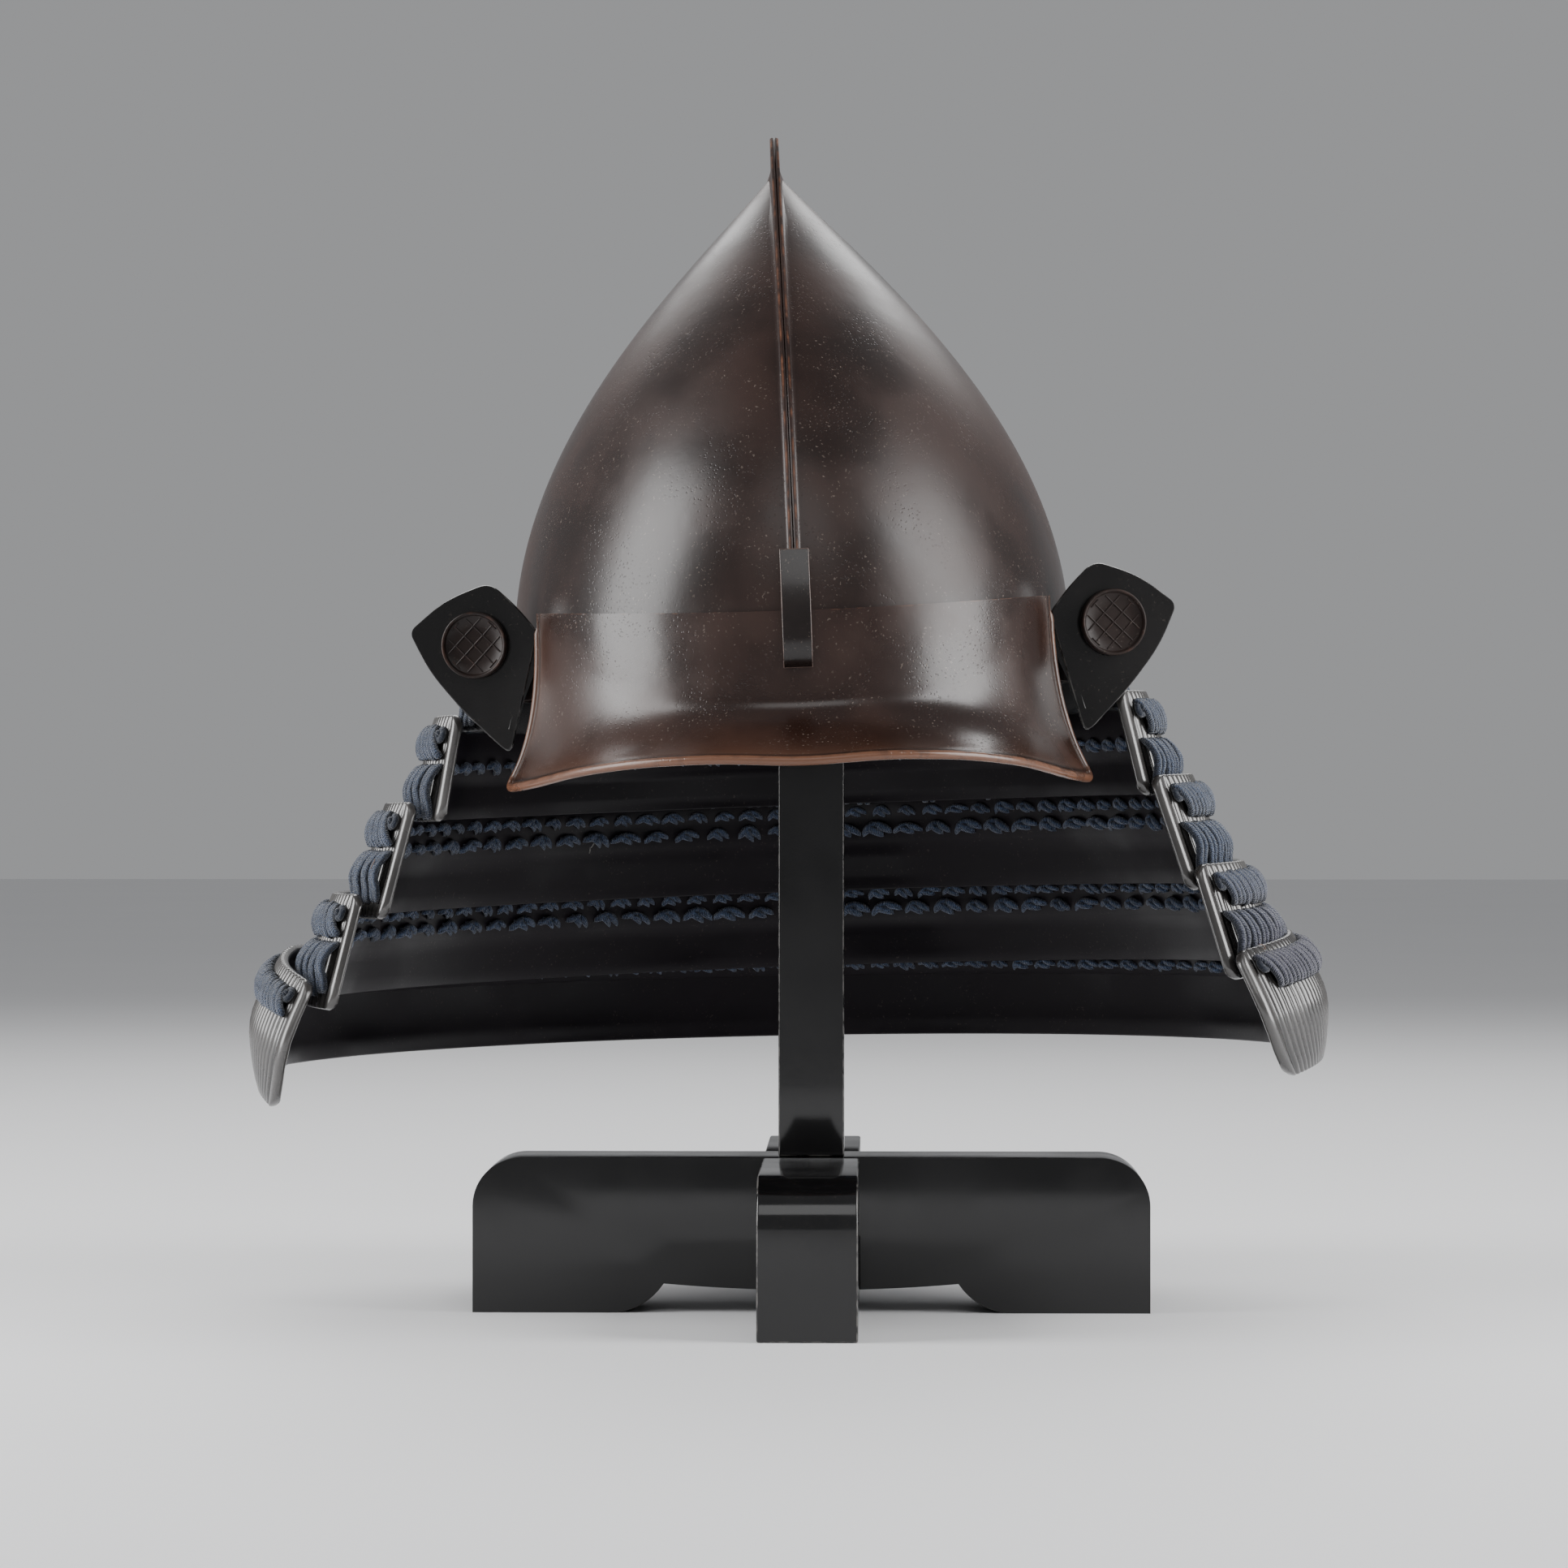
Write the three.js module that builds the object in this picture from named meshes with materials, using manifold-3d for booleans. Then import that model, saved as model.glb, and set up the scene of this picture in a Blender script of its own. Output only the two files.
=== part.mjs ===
// A laced samurai helmet on its plain wooden stand.
// Millimetres, +Z up, the front faces -Y. The origin is on the floor under the middle of the post.

import * as THREE from "three";
import { mergeVertices } from "three/addons/utils/BufferGeometryUtils.js";
import Module from "manifold-3d";

const wasm = await Module();
wasm.setup();

// ---- Driving dimensions, mm and degrees ----

const GAP = 0.3;

// The helmet's own frame has its origin in the plane of the bowl's rim, on the midline.
const HELMET = { x: -6.8, rimZ: 245, lean: -2.1, turn: 1.7 };

// The bowl's oval is measured from its centre line, which lies a little behind the middle of the helmet.
const OVAL = { centreY: 10, side: 110.4, front: 135, back: 115 };

const BOWL = { springH: 20, apexH: 208, plateH: 27, wall: 2, rows: 13, columns: 44 };
const PROFILE = { side: 1.12, front: 0.95, back: 0.9, backCurve: 2.4, crease: 0.22 };

const FLANGE = { halfThick: 1.9, startH: 52, front: 1.8, back: 3, apex: 14, spread: 26 };

const BAND = { topH: 26.7, inset: 0.5, wall: 2, columns: 44 };

const PEAK = {
  halfAngle: 62,
  topH: 28,
  topRise: 6,
  wall: 1.8,
  bendMiddleH: -5,
  bendCornerH: 25,
  kneeH: -14,
  columns: 28,
  flareRows: 6,
  reachMiddle: 30,
  reachCorner: 16.5,
  rimBead: 1.4,
};
// Height of the peak's rim from left to right. Its right corner hangs a little lower.
const PEAK_RIM = [
  { x: -112, h: -33.6 },
  { x: -100, h: -32.4 },
  { x: -85, h: -28.6 },
  { x: -60, h: -26 },
  { x: -31, h: -25.5 },
  { x: 0, h: -27.6 },
  { x: 31, h: -26 },
  { x: 60, h: -27.3 },
  { x: 85, h: -31 },
  { x: 100, h: -36.2 },
  { x: 112, h: -38.2 },
];

const HOLDER = { width: 11, depth: 7, lowH: 6.5, topH: 51, chamfer: 7 };
const HOLDER_SLOT = { width: 7.5, depth: 3.2, floorH: 18 };

// The turnback's outline in its own plane: x from the midline, h above the rim, with each corner's radius.
const TURNBACK = [
  { x: 117.5, h: 45.9, r: 5 },
  { x: 135.5, h: 39.8, r: 14 },
  { x: 150.5, h: 28, r: 3.5 },
  { x: 143, h: 12, r: 14 },
  { x: 130, h: -4, r: 12 },
  { x: 111.6, h: -21.8, r: 2 },
  { x: 99, h: 26, r: 3 },
  { x: 107, h: 36, r: 8 },
];
const TURNBACK_PLATE = { y: -50, thick: 2.2, sweep: 12, hingeX: 105 };

const BADGE = { x: 123.7, h: 21.6, radius: 13, thick: 2.4, ring: 1.5, ringHeight: 1.2, steps: 28 };

// Rows of a lame's outer face: its height and its reach from the oval's centre to the side, front and back.
// Its front edges stand "edge" degrees round before its sides, and it runs "lift" higher behind them,
// "cant" more on the left and less on the right.
const LAME_WALL = 3;
const LAME_COLUMNS = 30;
const TOP_LAME = {
  faceRow: 1,
  rows: [
    { h: 24, side: 112.4, front: 137.4, back: 117.4, edge: 21, lift: 0 },
    { h: 14, side: 113.8, front: 138, back: 118.7, edge: 21, lift: 0 },
    { h: -12, side: 134.5, front: 108, back: 139, edge: 21, lift: 0 },
  ],
  shift: 0,
  turn: 0,
};
const LAMES = [
  {
    name: "lame_1",
    rows: [
      { h: -4.5, side: 141, front: 115, back: 145, edge: 24, lift: 0 },
      { h: -45.8, side: 152.5, front: 121, back: 150, edge: 26.2, lift: 0 },
    ],
    shift: -1.8,
    turn: -1.6,
  },
  {
    name: "lame_2",
    rows: [
      { h: -38, side: 160.1, front: 128, back: 157, edge: 26, lift: 0 },
      { h: -83, side: 174.8, front: 139, back: 166, edge: 26, lift: 0 },
    ],
    shift: -3.8,
    turn: -3.2,
  },
  {
    name: "lame_3",
    rows: [
      { h: -73, side: 180.8, front: 146, back: 172.5, edge: 26.2, lift: 0 },
      { h: -117.7, side: 196, front: 157, back: 184, edge: 27.3, lift: 2 },
    ],
    shift: -5.6,
    turn: -4.6,
  },
  {
    name: "lame_4",
    rows: [
      { h: -107, side: 200.5, front: 163.5, back: 190.5, edge: 27, lift: 9, cant: 3.5 },
      { h: -135, side: 213.8, front: 173, back: 200, edge: 27.2, lift: 9.5, cant: 3.5 },
      { h: -147, side: 213.2, front: 172.5, back: 199.5, edge: 24.6, lift: 9.5, cant: 3.5 },
      { h: -157, side: 211.5, front: 170, back: 198, edge: 20.8, lift: 9.5, cant: 3.5 },
    ],
    shift: -7.6,
    turn: -5.1,
  },
];
// How far round a lame's lacing stops short of its front edges, in degrees.
const LACING_SETBACK = 2.4;
const LACING_GAP = 0.45;
// The lift is spread over this part of the oval behind the front edges.
const LIFT_SPREAD = 0.5;

// Lacing sections: distance down from the lame's head, and how far they stand off its face.
const ROLL = [
  { down: 5.5, off: 1.6 },
  { down: 8.5, off: 4 },
  { down: 15.5, off: 4 },
  { down: 18.5, off: 1.6 },
];
const HANG = [
  { down: 21, off: 1.6 },
  { down: 24, off: 4.8 },
  { down: 28, off: 5.4 },
  { down: 34, off: 2.8 },
  { down: 41, off: 2.4 },
];
const TOP_HANG = [
  { down: 15, off: 1.6 },
  { down: 18, off: 4.6 },
  { down: 26, off: 5.6 },
  { down: 31, off: 2.6 },
];

const BOARD = { height: 61, thick: 38, corner: 19, cornerSteps: 8 };
const SIDE_LENGTH = 267;
const FRONT_LENGTH = 252;
const ARCH = { halfWidth: 80, cuspX: 58, cuspH: 11.5, middleH: 9, endH: 0 };
const LAP_H = 30.5;
const POST = { width: 26, topH: 372 };
const HEAD = { radius: 30, rimH: 10, topH: 423.5, rows: 6, steps: 20 };

const LACQUER_BROWN = { color: 0x2a1712, roughness: 0.28, metalness: 0.3 };
const LACQUER_BLACK = { color: 0x0c0b0c, roughness: 0.2, metalness: 0 };
const LAME_LACQUER = { color: 0x33302c, roughness: 0.45, metalness: 0.1 };
const BADGE_LACQUER = { color: 0x4a3226, roughness: 0.4, metalness: 0.2 };
const INDIGO_CORD = { color: 0x1d2f4f, roughness: 0.9, metalness: 0 };
const STAND_LACQUER = { color: 0x0b0a0a, roughness: 0.22, metalness: 0 };

// ---- Small helpers ----

const radians = THREE.MathUtils.degToRad;
const mix = THREE.MathUtils.lerp;

function range(count) {
  return Array.from({ length: count }, (_, i) => i);
}

function meshOf(name, geometry, finish) {
  geometry.computeVertexNormals();
  const mesh = new THREE.Mesh(geometry, new THREE.MeshStandardMaterial(finish));
  mesh.name = name;
  return mesh;
}

function geometryOf(points, triangles) {
  const geometry = new THREE.BufferGeometry().setFromPoints(points);
  geometry.setIndex(triangles);
  return geometry;
}

function solidOf(geometry) {
  const bare = geometry.clone();
  bare.deleteAttribute("normal");
  bare.deleteAttribute("uv");
  const merged = mergeVertices(bare, 1e-4);
  return new wasm.Manifold(
    new wasm.Mesh({
      numProp: 3,
      vertProperties: new Float32Array(merged.attributes.position.array),
      triVerts: new Uint32Array(merged.index.array),
    }),
  );
}

function geometryOfSolid(solid) {
  const mesh = solid.getMesh();
  const geometry = new THREE.BufferGeometry();
  geometry.setAttribute("position", new THREE.BufferAttribute(mesh.vertProperties, 3));
  geometry.setIndex(new THREE.BufferAttribute(mesh.triVerts, 1));
  return geometry;
}

// An outline drawn in y and z, given a width across the midline.
function acrossMidline(outline, width) {
  const plate = new THREE.ExtrudeGeometry(new THREE.Shape(outline), { depth: width, bevelEnabled: false });
  plate.translate(0, 0, -width / 2);
  plate.rotateY(Math.PI / 2);
  plate.rotateX(Math.PI / 2);
  return solidOf(plate);
}

function boxSolid(low, high) {
  const size = [0, 1, 2].map((i) => high[i] - low[i]);
  const box = new THREE.BoxGeometry(...size);
  box.translate(...[0, 1, 2].map((i) => (low[i] + high[i]) / 2));
  return solidOf(box);
}

// A closed wall between two grids of points, outer[column][row] and inner[column][row].
// Columns run anticlockwise seen from above, and rows run downwards.
function wallBetween(outer, inner, closed) {
  const columns = outer.length;
  const rows = outer[0].length;
  const points = [...outer.flat(), ...inner.flat()];
  const out = (c, r) => (c % columns) * rows + r;
  const inn = (c, r) => columns * rows + out(c, r);
  const triangles = [];
  const quad = (a, b, c, d) => triangles.push(a, b, c, a, c, d);
  for (const c of range(closed ? columns : columns - 1)) {
    for (const r of range(rows - 1)) {
      quad(out(c, r), out(c, r + 1), out(c + 1, r + 1), out(c + 1, r));
      quad(inn(c, r), inn(c + 1, r), inn(c + 1, r + 1), inn(c, r + 1));
    }
    quad(out(c, 0), out(c + 1, 0), inn(c + 1, 0), inn(c, 0));
    quad(out(c, rows - 1), inn(c, rows - 1), inn(c + 1, rows - 1), out(c + 1, rows - 1));
  }
  if (!closed) {
    const last = columns - 1;
    for (const r of range(rows - 1)) {
      quad(out(0, r), inn(0, r), inn(0, r + 1), out(0, r + 1));
      quad(out(last, r), out(last, r + 1), inn(last, r + 1), inn(last, r));
    }
  }
  return geometryOf(points, triangles);
}

// ---- Bowl ----

// The bowl's reach at a height, for its outer face (inset 0) or its inner one.
function bowlReach(h, inset) {
  const rise = BOWL.apexH - BOWL.springH - 1.6 * inset;
  const t = THREE.MathUtils.clamp((h - BOWL.springH) / rise, 0, 1);
  return {
    side: (OVAL.side - inset) * (1 - t ** 2) ** PROFILE.side,
    front: (OVAL.front - inset) * (1 - t ** 2) ** PROFILE.front,
    back: (OVAL.back - inset) * (1 - t ** PROFILE.backCurve) ** PROFILE.back,
    power: 1 + 2 * PROFILE.crease * t,
  };
}

// A point of an oval ring: angle 0 is the right side and 90 the back.
function ovalPoint(reach, angle, h) {
  const across = Math.cos(angle);
  const along = Math.sin(angle);
  const x = reach.side * Math.sign(across) * Math.abs(across) ** (reach.power ?? 1);
  return new THREE.Vector3(x, along * (along > 0 ? reach.back : reach.front), h);
}

function bowlBody(inset, lowH) {
  const { rows, columns } = BOWL;
  const rise = BOWL.apexH - BOWL.springH - 1.6 * inset;
  const lowT = Math.asin(Math.max(0, (lowH - BOWL.springH) / rise));
  const points = [];
  for (const r of range(rows)) {
    const t = Math.sin(mix(lowT, Math.PI / 2, r / rows));
    const h = r === 0 ? lowH : BOWL.springH + rise * t;
    const reach = bowlReach(h, inset);
    for (const c of range(columns)) {
      points.push(ovalPoint(reach, (2 * Math.PI * c) / columns, h));
    }
  }
  const top = points.push(new THREE.Vector3(0, 0, BOWL.springH + rise)) - 1;
  const bottom = points.push(new THREE.Vector3(0, 0, lowH)) - 1;
  const triangles = [];
  for (const c of range(columns)) {
    const next = (c + 1) % columns;
    for (const r of range(rows - 1)) {
      const low = r * columns;
      const high = low + columns;
      triangles.push(low + c, low + next, high + next, low + c, high + next, high + c);
    }
    const last = (rows - 1) * columns;
    triangles.push(last + c, last + next, top, next, c, bottom);
  }
  return solidOf(geometryOf(points, triangles));
}

// How far the midline flange stands off the bowl, by height, before or behind the point.
function flangeHeight(h, low) {
  const below = (BOWL.apexH - h) / FLANGE.spread;
  return low + (FLANGE.apex - low) * Math.exp(-(below ** 1.3));
}

function flangeBody() {
  const steps = 26;
  const side = (sign) =>
    range(steps).map((i) => {
      const t = Math.sin((i / (steps - 1)) * (Math.PI / 2));
      const h = mix(FLANGE.startH, BOWL.apexH - 0.5, t);
      const reach = bowlReach(h, 0);
      const y = sign < 0 ? -reach.front : reach.back;
      const off = flangeHeight(h, sign < 0 ? FLANGE.front : FLANGE.back);
      const rise = t ** 2;
      return new THREE.Vector2(y + sign * off * (1 - rise), h + off * rise);
    });
  const outline = [...side(-1), ...side(1).reverse(), new THREE.Vector2(0, FLANGE.startH)];
  return acrossMidline(outline, 2 * FLANGE.halfThick);
}

function bowlHalves() {
  const hollow = bowlBody(BOWL.wall, BOWL.plateH - 1);
  const whole = bowlBody(0, BOWL.plateH).add(flangeBody()).subtract(hollow);
  const far = 300;
  const halves = [
    { name: "bowl_half_left", low: [-far, -far, 0], high: [-GAP / 2, far, far] },
    { name: "bowl_half_right", low: [GAP / 2, -far, 0], high: [far, far, far] },
  ];
  return halves.map(({ name, low, high }) => {
    const mesh = meshOf(name, geometryOfSolid(whole.intersect(boxSolid(low, high))), LACQUER_BROWN);
    mesh.position.y = OVAL.centreY;
    return mesh;
  });
}

function waistBand() {
  const ring = (inset) => ({
    side: OVAL.side - inset,
    front: OVAL.front - inset,
    back: OVAL.back - inset,
  });
  const wall = (inset) =>
    range(BAND.columns).map((c) =>
      [BAND.topH, 0].map((h) => ovalPoint(ring(inset), (2 * Math.PI * c) / BAND.columns, h)),
    );
  const band = wallBetween(wall(BAND.inset), wall(BAND.inset + BAND.wall), true);
  const mesh = meshOf("waist_band", band, LACQUER_BROWN);
  mesh.position.y = OVAL.centreY;
  return mesh;
}

// ---- Peak ----

function peakRimHeight(x) {
  const within = THREE.MathUtils.clamp(x, PEAK_RIM[0].x, PEAK_RIM.at(-1).x);
  const i = Math.max(1, PEAK_RIM.findIndex((point) => point.x >= within));
  const [a, b] = [PEAK_RIM[i - 1], PEAK_RIM[i]];
  return mix(a.h, b.h, (within - a.x) / (b.x - a.x));
}

// A point of the peak, standing off the bowl's oval at an angle from the front.
function peakPoint(angle, off, h) {
  const x = OVAL.side * Math.sin(angle);
  const y = -OVAL.front * Math.cos(angle);
  const normal = new THREE.Vector2(x / OVAL.side ** 2, y / OVAL.front ** 2).normalize();
  return new THREE.Vector3(x + normal.x * off, y + normal.y * off, h);
}

// The peak's section at an angle: its outer points, and inner ones under them.
function peakSection(angle) {
  const corner = (angle / radians(PEAK.halfAngle)) ** 2;
  const reach = mix(PEAK.reachMiddle, PEAK.reachCorner, corner);
  const rimH = peakRimHeight(OVAL.side * Math.sin(angle) + reach * Math.sin(angle));
  const topH = PEAK.topH + PEAK.topRise * Math.sin(angle) ** 2;
  const near = GAP + PEAK.wall;
  const start = new THREE.Vector2(near, mix(PEAK.bendMiddleH, PEAK.bendCornerH, corner));
  const knee = new THREE.Vector2(near, PEAK.kneeH);
  const flare = new THREE.QuadraticBezierCurve(start, knee, new THREE.Vector2(reach, rimH));
  const outer = [new THREE.Vector2(near, topH)];
  const inner = [new THREE.Vector2(GAP, topH)];
  for (const i of range(PEAK.flareRows + 1)) {
    const t = i / PEAK.flareRows;
    const at = flare.getPoint(t);
    const along = flare.getTangent(t);
    const wall = PEAK.wall + (i === PEAK.flareRows ? PEAK.rimBead : 0);
    outer.push(at);
    inner.push(new THREE.Vector2(at.x + along.y * wall, at.y - along.x * wall));
  }
  return { outer, inner };
}

function peak() {
  const angles = range(PEAK.columns + 1).map((c) =>
    mix(-radians(PEAK.halfAngle), radians(PEAK.halfAngle), c / PEAK.columns),
  );
  const sections = angles.map(peakSection);
  const place = (points, c) => points.map((p) => peakPoint(angles[c], p.x, p.y));
  const outer = sections.map((section, c) => place(section.outer, c));
  const inner = sections.map((section, c) => place(section.inner, c));
  const mesh = meshOf("peak", wallBetween(outer, inner, false), LACQUER_BROWN);
  mesh.position.y = OVAL.centreY;
  return mesh;
}

// ---- Crest holder ----

function crestHolder() {
  const onFlange = OVAL.front + 2 * GAP + PEAK.wall;
  const clearOf = (h) => Math.max(bowlReach(h, 0).front + GAP, h > PEAK.topH + 1 ? 0 : onFlange);
  const bendH = PEAK.topH + 2;
  const back = [HOLDER.lowH, bendH, HOLDER.topH].map((h) => new THREE.Vector2(-clearOf(h), h));
  back[1].x = -onFlange;
  const front = [
    new THREE.Vector2(back[2].x - HOLDER.depth, HOLDER.topH),
    new THREE.Vector2(-onFlange - HOLDER.depth, bendH),
    new THREE.Vector2(-onFlange - HOLDER.depth, HOLDER.lowH + HOLDER.chamfer),
    new THREE.Vector2(-onFlange - HOLDER.depth / 3, HOLDER.lowH),
  ];
  const lean = (back[2].x - back[1].x) / (HOLDER.topH - bendH);
  const middle = (h) => -onFlange - HOLDER.depth / 2 + Math.max(0, h - bendH) * lean;
  const slotFace = (sign) =>
    [HOLDER_SLOT.floorH, bendH, HOLDER.topH + 1].map(
      (h) => new THREE.Vector2(middle(h) + (sign * HOLDER_SLOT.depth) / 2, h),
    );
  const slot = acrossMidline([...slotFace(-1), ...slotFace(1).reverse()], HOLDER_SLOT.width);
  const slotted = acrossMidline([...back, ...front], HOLDER.width).subtract(slot);
  const mesh = meshOf("crest_holder", geometryOfSolid(slotted), LACQUER_BROWN);
  mesh.position.y = OVAL.centreY;
  return mesh;
}

// ---- Neck guard ----

// A row of a lame at a distance down its face from its head, standing off that face.
function lameRow(lame, down, off) {
  const [head, foot] = lame.rows.slice(lame.faceRow ?? 0);
  const length = Math.hypot(foot.side - head.side, foot.h - head.h);
  const slope = new THREE.Vector2(foot.side - head.side, foot.h - head.h).divideScalar(length);
  const row = {};
  for (const key of Object.keys(head)) row[key] = mix(head[key], foot[key], down / length);
  row.h += slope.x * off;
  return insetRow(row, slope.y * off);
}

function insetRow(row, inset) {
  return { ...row, side: row.side - inset, front: row.front - inset, back: row.back - inset };
}

// The angles of the columns that a lame shares with its lacing, from its right front round the back.
function lacedAngles(row) {
  const front = radians(row.edge - LACING_SETBACK);
  return range(LAME_COLUMNS + 1).map((c) => mix(-front, Math.PI + front, c / LAME_COLUMNS));
}

// A lame's columns reach its front edges too.
function edgedAngles(row) {
  const edge = radians(row.edge);
  return [-edge, ...lacedAngles(row), Math.PI + edge];
}

function lamePoint(row, angle) {
  const behind = (Math.sin(angle) + Math.sin(radians(row.edge))) / LIFT_SPREAD;
  const lift = row.lift - (row.cant ?? 0) * Math.cos(angle);
  return ovalPoint(row, angle, row.h + lift * THREE.MathUtils.clamp(behind, 0, 1) ** 0.7);
}

// A lame's wall between its outer and inner rows, with an open front. anglesOf gives each row's columns.
function lameWall(rows, innerRows, anglesOf) {
  const grid = (set) => {
    const lines = set.map((row) => anglesOf(row).map((angle) => lamePoint(row, angle)));
    return lines[0].map((_, c) => lines.map((line) => line[c]));
  };
  return wallBetween(grid(rows), grid(innerRows), false);
}

function placeOnSkirt(mesh, lame) {
  mesh.position.set(lame.shift, OVAL.centreY, 0);
  mesh.rotation.z = radians(lame.turn);
  return mesh;
}

function lameMesh(lame) {
  const inner = lame.rows.map((row) => insetRow(row, LAME_WALL));
  const wall = lameWall(lame.rows, inner, edgedAngles);
  return placeOnSkirt(meshOf(lame.name, wall, LAME_LACQUER), lame);
}

function lacingMesh(name, lame, section) {
  const outer = section.map(({ down, off }) => lameRow(lame, down, off));
  const inner = section.map(({ down }) => lameRow(lame, down, LACING_GAP));
  return placeOnSkirt(meshOf(name, lameWall(outer, inner, lacedAngles), INDIGO_CORD), lame);
}

function lacingMeshes() {
  const hanging = LAMES.slice(0, -1).map((lame, i) => lacingMesh(`lacing_low_${i + 1}`, lame, HANG));
  const rolls = LAMES.map((lame, i) => lacingMesh(`lacing_up_${i + 1}`, lame, ROLL));
  return [lacingMesh("lacing_low_0", TOP_LAME, TOP_HANG), ...hanging, ...rolls];
}

// A closed outline whose corners are rounded to each corner's own radius.
function roundedOutline(corners) {
  const count = corners.length;
  const outline = [];
  corners.forEach((corner, i) => {
    const at = new THREE.Vector2(corner.x, corner.h);
    const before = corners[(i + count - 1) % count];
    const after = corners[(i + 1) % count];
    const toBefore = new THREE.Vector2(before.x, before.h).sub(at);
    const toAfter = new THREE.Vector2(after.x, after.h).sub(at);
    const cut = Math.min(corner.r, toBefore.length() * 0.45, toAfter.length() * 0.45);
    const start = at.clone().addScaledVector(toBefore.normalize(), cut);
    const end = at.clone().addScaledVector(toAfter.normalize(), cut);
    outline.push(...new THREE.QuadraticBezierCurve(start, at, end).getPoints(3));
  });
  return outline;
}

function turnbackPlate(sign) {
  const outline = roundedOutline(TURNBACK);
  const shape = new THREE.Shape(outline.map((p) => new THREE.Vector2(p.x - TURNBACK_PLATE.hingeX, p.y)));
  const plate = new THREE.ExtrudeGeometry(shape, { depth: TURNBACK_PLATE.thick, bevelEnabled: false });
  plate.rotateX(Math.PI / 2);
  plate.translate(0, TURNBACK_PLATE.thick / 2, 0);
  plate.rotateZ(radians(TURNBACK_PLATE.sweep));
  plate.translate(TURNBACK_PLATE.hingeX, TURNBACK_PLATE.y - OVAL.centreY, 0);
  const solid = solidOf(plate);
  return sign > 0 ? solid : solid.mirror([1, 0, 0]);
}

function topLame() {
  const inner = TOP_LAME.rows.map((row, i) => insetRow(row, i < 2 ? 1.8 : LAME_WALL));
  const reachPlate = (row) => {
    const end = Math.asin((OVAL.centreY - TURNBACK_PLATE.y) / row.front);
    return [-end, ...lacedAngles(row), Math.PI + end];
  };
  const ring = solidOf(lameWall(TOP_LAME.rows, inner, reachPlate));
  const joined = ring.add(turnbackPlate(1)).add(turnbackPlate(-1));
  return placeOnSkirt(meshOf("top_lame", geometryOfSolid(joined), LACQUER_BLACK), TOP_LAME);
}

function badge(name, sign) {
  const { radius, thick, ring, ringHeight, steps } = BADGE;
  const profile = [
    new THREE.Vector2(0, 0),
    new THREE.Vector2(radius, 0),
    new THREE.Vector2(radius, thick + ringHeight),
    new THREE.Vector2(radius - ring, thick + ringHeight),
    new THREE.Vector2(radius - ring - 0.6, thick),
    new THREE.Vector2(0, thick),
  ];
  const disc = new THREE.LatheGeometry(profile, steps);
  disc.rotateX(Math.PI);
  const mesh = meshOf(name, disc, BADGE_LACQUER);
  const sweep = radians(TURNBACK_PLATE.sweep) * sign;
  const along = BADGE.x - TURNBACK_PLATE.hingeX;
  const stand = TURNBACK_PLATE.thick / 2 + GAP;
  const x = TURNBACK_PLATE.hingeX + along * Math.cos(sweep) + stand * Math.abs(Math.sin(sweep));
  const y = TURNBACK_PLATE.y + along * Math.abs(Math.sin(sweep)) - stand * Math.cos(sweep);
  mesh.position.set(sign * x, y, BADGE.h);
  mesh.rotation.z = sweep;
  return mesh;
}

// ---- Stand ----

function boardOutline(length, arch) {
  const half = length / 2;
  const { height, corner } = BOARD;
  const shape = new THREE.Shape();
  shape.moveTo(-half, 0);
  if (arch) {
    shape.lineTo(-ARCH.halfWidth, 0);
    shape.quadraticCurveTo(-ARCH.cuspX - 8, ARCH.endH, -ARCH.cuspX, ARCH.cuspH);
    shape.quadraticCurveTo(-ARCH.cuspX / 2, ARCH.middleH, 0, ARCH.middleH);
    shape.quadraticCurveTo(ARCH.cuspX / 2, ARCH.middleH, ARCH.cuspX, ARCH.cuspH);
    shape.quadraticCurveTo(ARCH.cuspX + 8, ARCH.endH, ARCH.halfWidth, 0);
  }
  shape.lineTo(half, 0);
  shape.lineTo(half, height - corner);
  shape.absarc(half - corner, height - corner, corner, 0, Math.PI / 2);
  shape.lineTo(-half + corner, height);
  shape.absarc(-half + corner, height - corner, corner, Math.PI / 2, Math.PI);
  return shape;
}

function boardSolid(length, arch) {
  const board = new THREE.ExtrudeGeometry(boardOutline(length, arch), {
    depth: BOARD.thick,
    bevelEnabled: false,
    curveSegments: BOARD.cornerSteps,
  });
  board.rotateX(Math.PI / 2);
  board.translate(0, BOARD.thick / 2, 0);
  if (!arch) board.rotateZ(Math.PI / 2);
  return solidOf(board);
}

// The side board is cut from below and the front board from above, so each fills the other's notch.
function baseBoards() {
  const notch = BOARD.thick / 2 + GAP;
  const below = boxSolid([-notch, -BOARD.thick, -1], [notch, BOARD.thick, LAP_H]);
  const above = boxSolid([-BOARD.thick, -notch, LAP_H - GAP], [BOARD.thick, notch, BOARD.height + 1]);
  const side = boardSolid(SIDE_LENGTH, true).subtract(below);
  const front = boardSolid(FRONT_LENGTH, false).subtract(above);
  return [
    meshOf("base_board_side", geometryOfSolid(side), STAND_LACQUER),
    meshOf("base_board_front", geometryOfSolid(front), STAND_LACQUER),
  ];
}

function post() {
  const height = POST.topH - BOARD.height - GAP;
  const shaft = new THREE.BoxGeometry(POST.width, POST.width, height);
  const mesh = meshOf("post", shaft, STAND_LACQUER);
  mesh.position.z = POST.topH - height / 2;
  return mesh;
}

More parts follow.
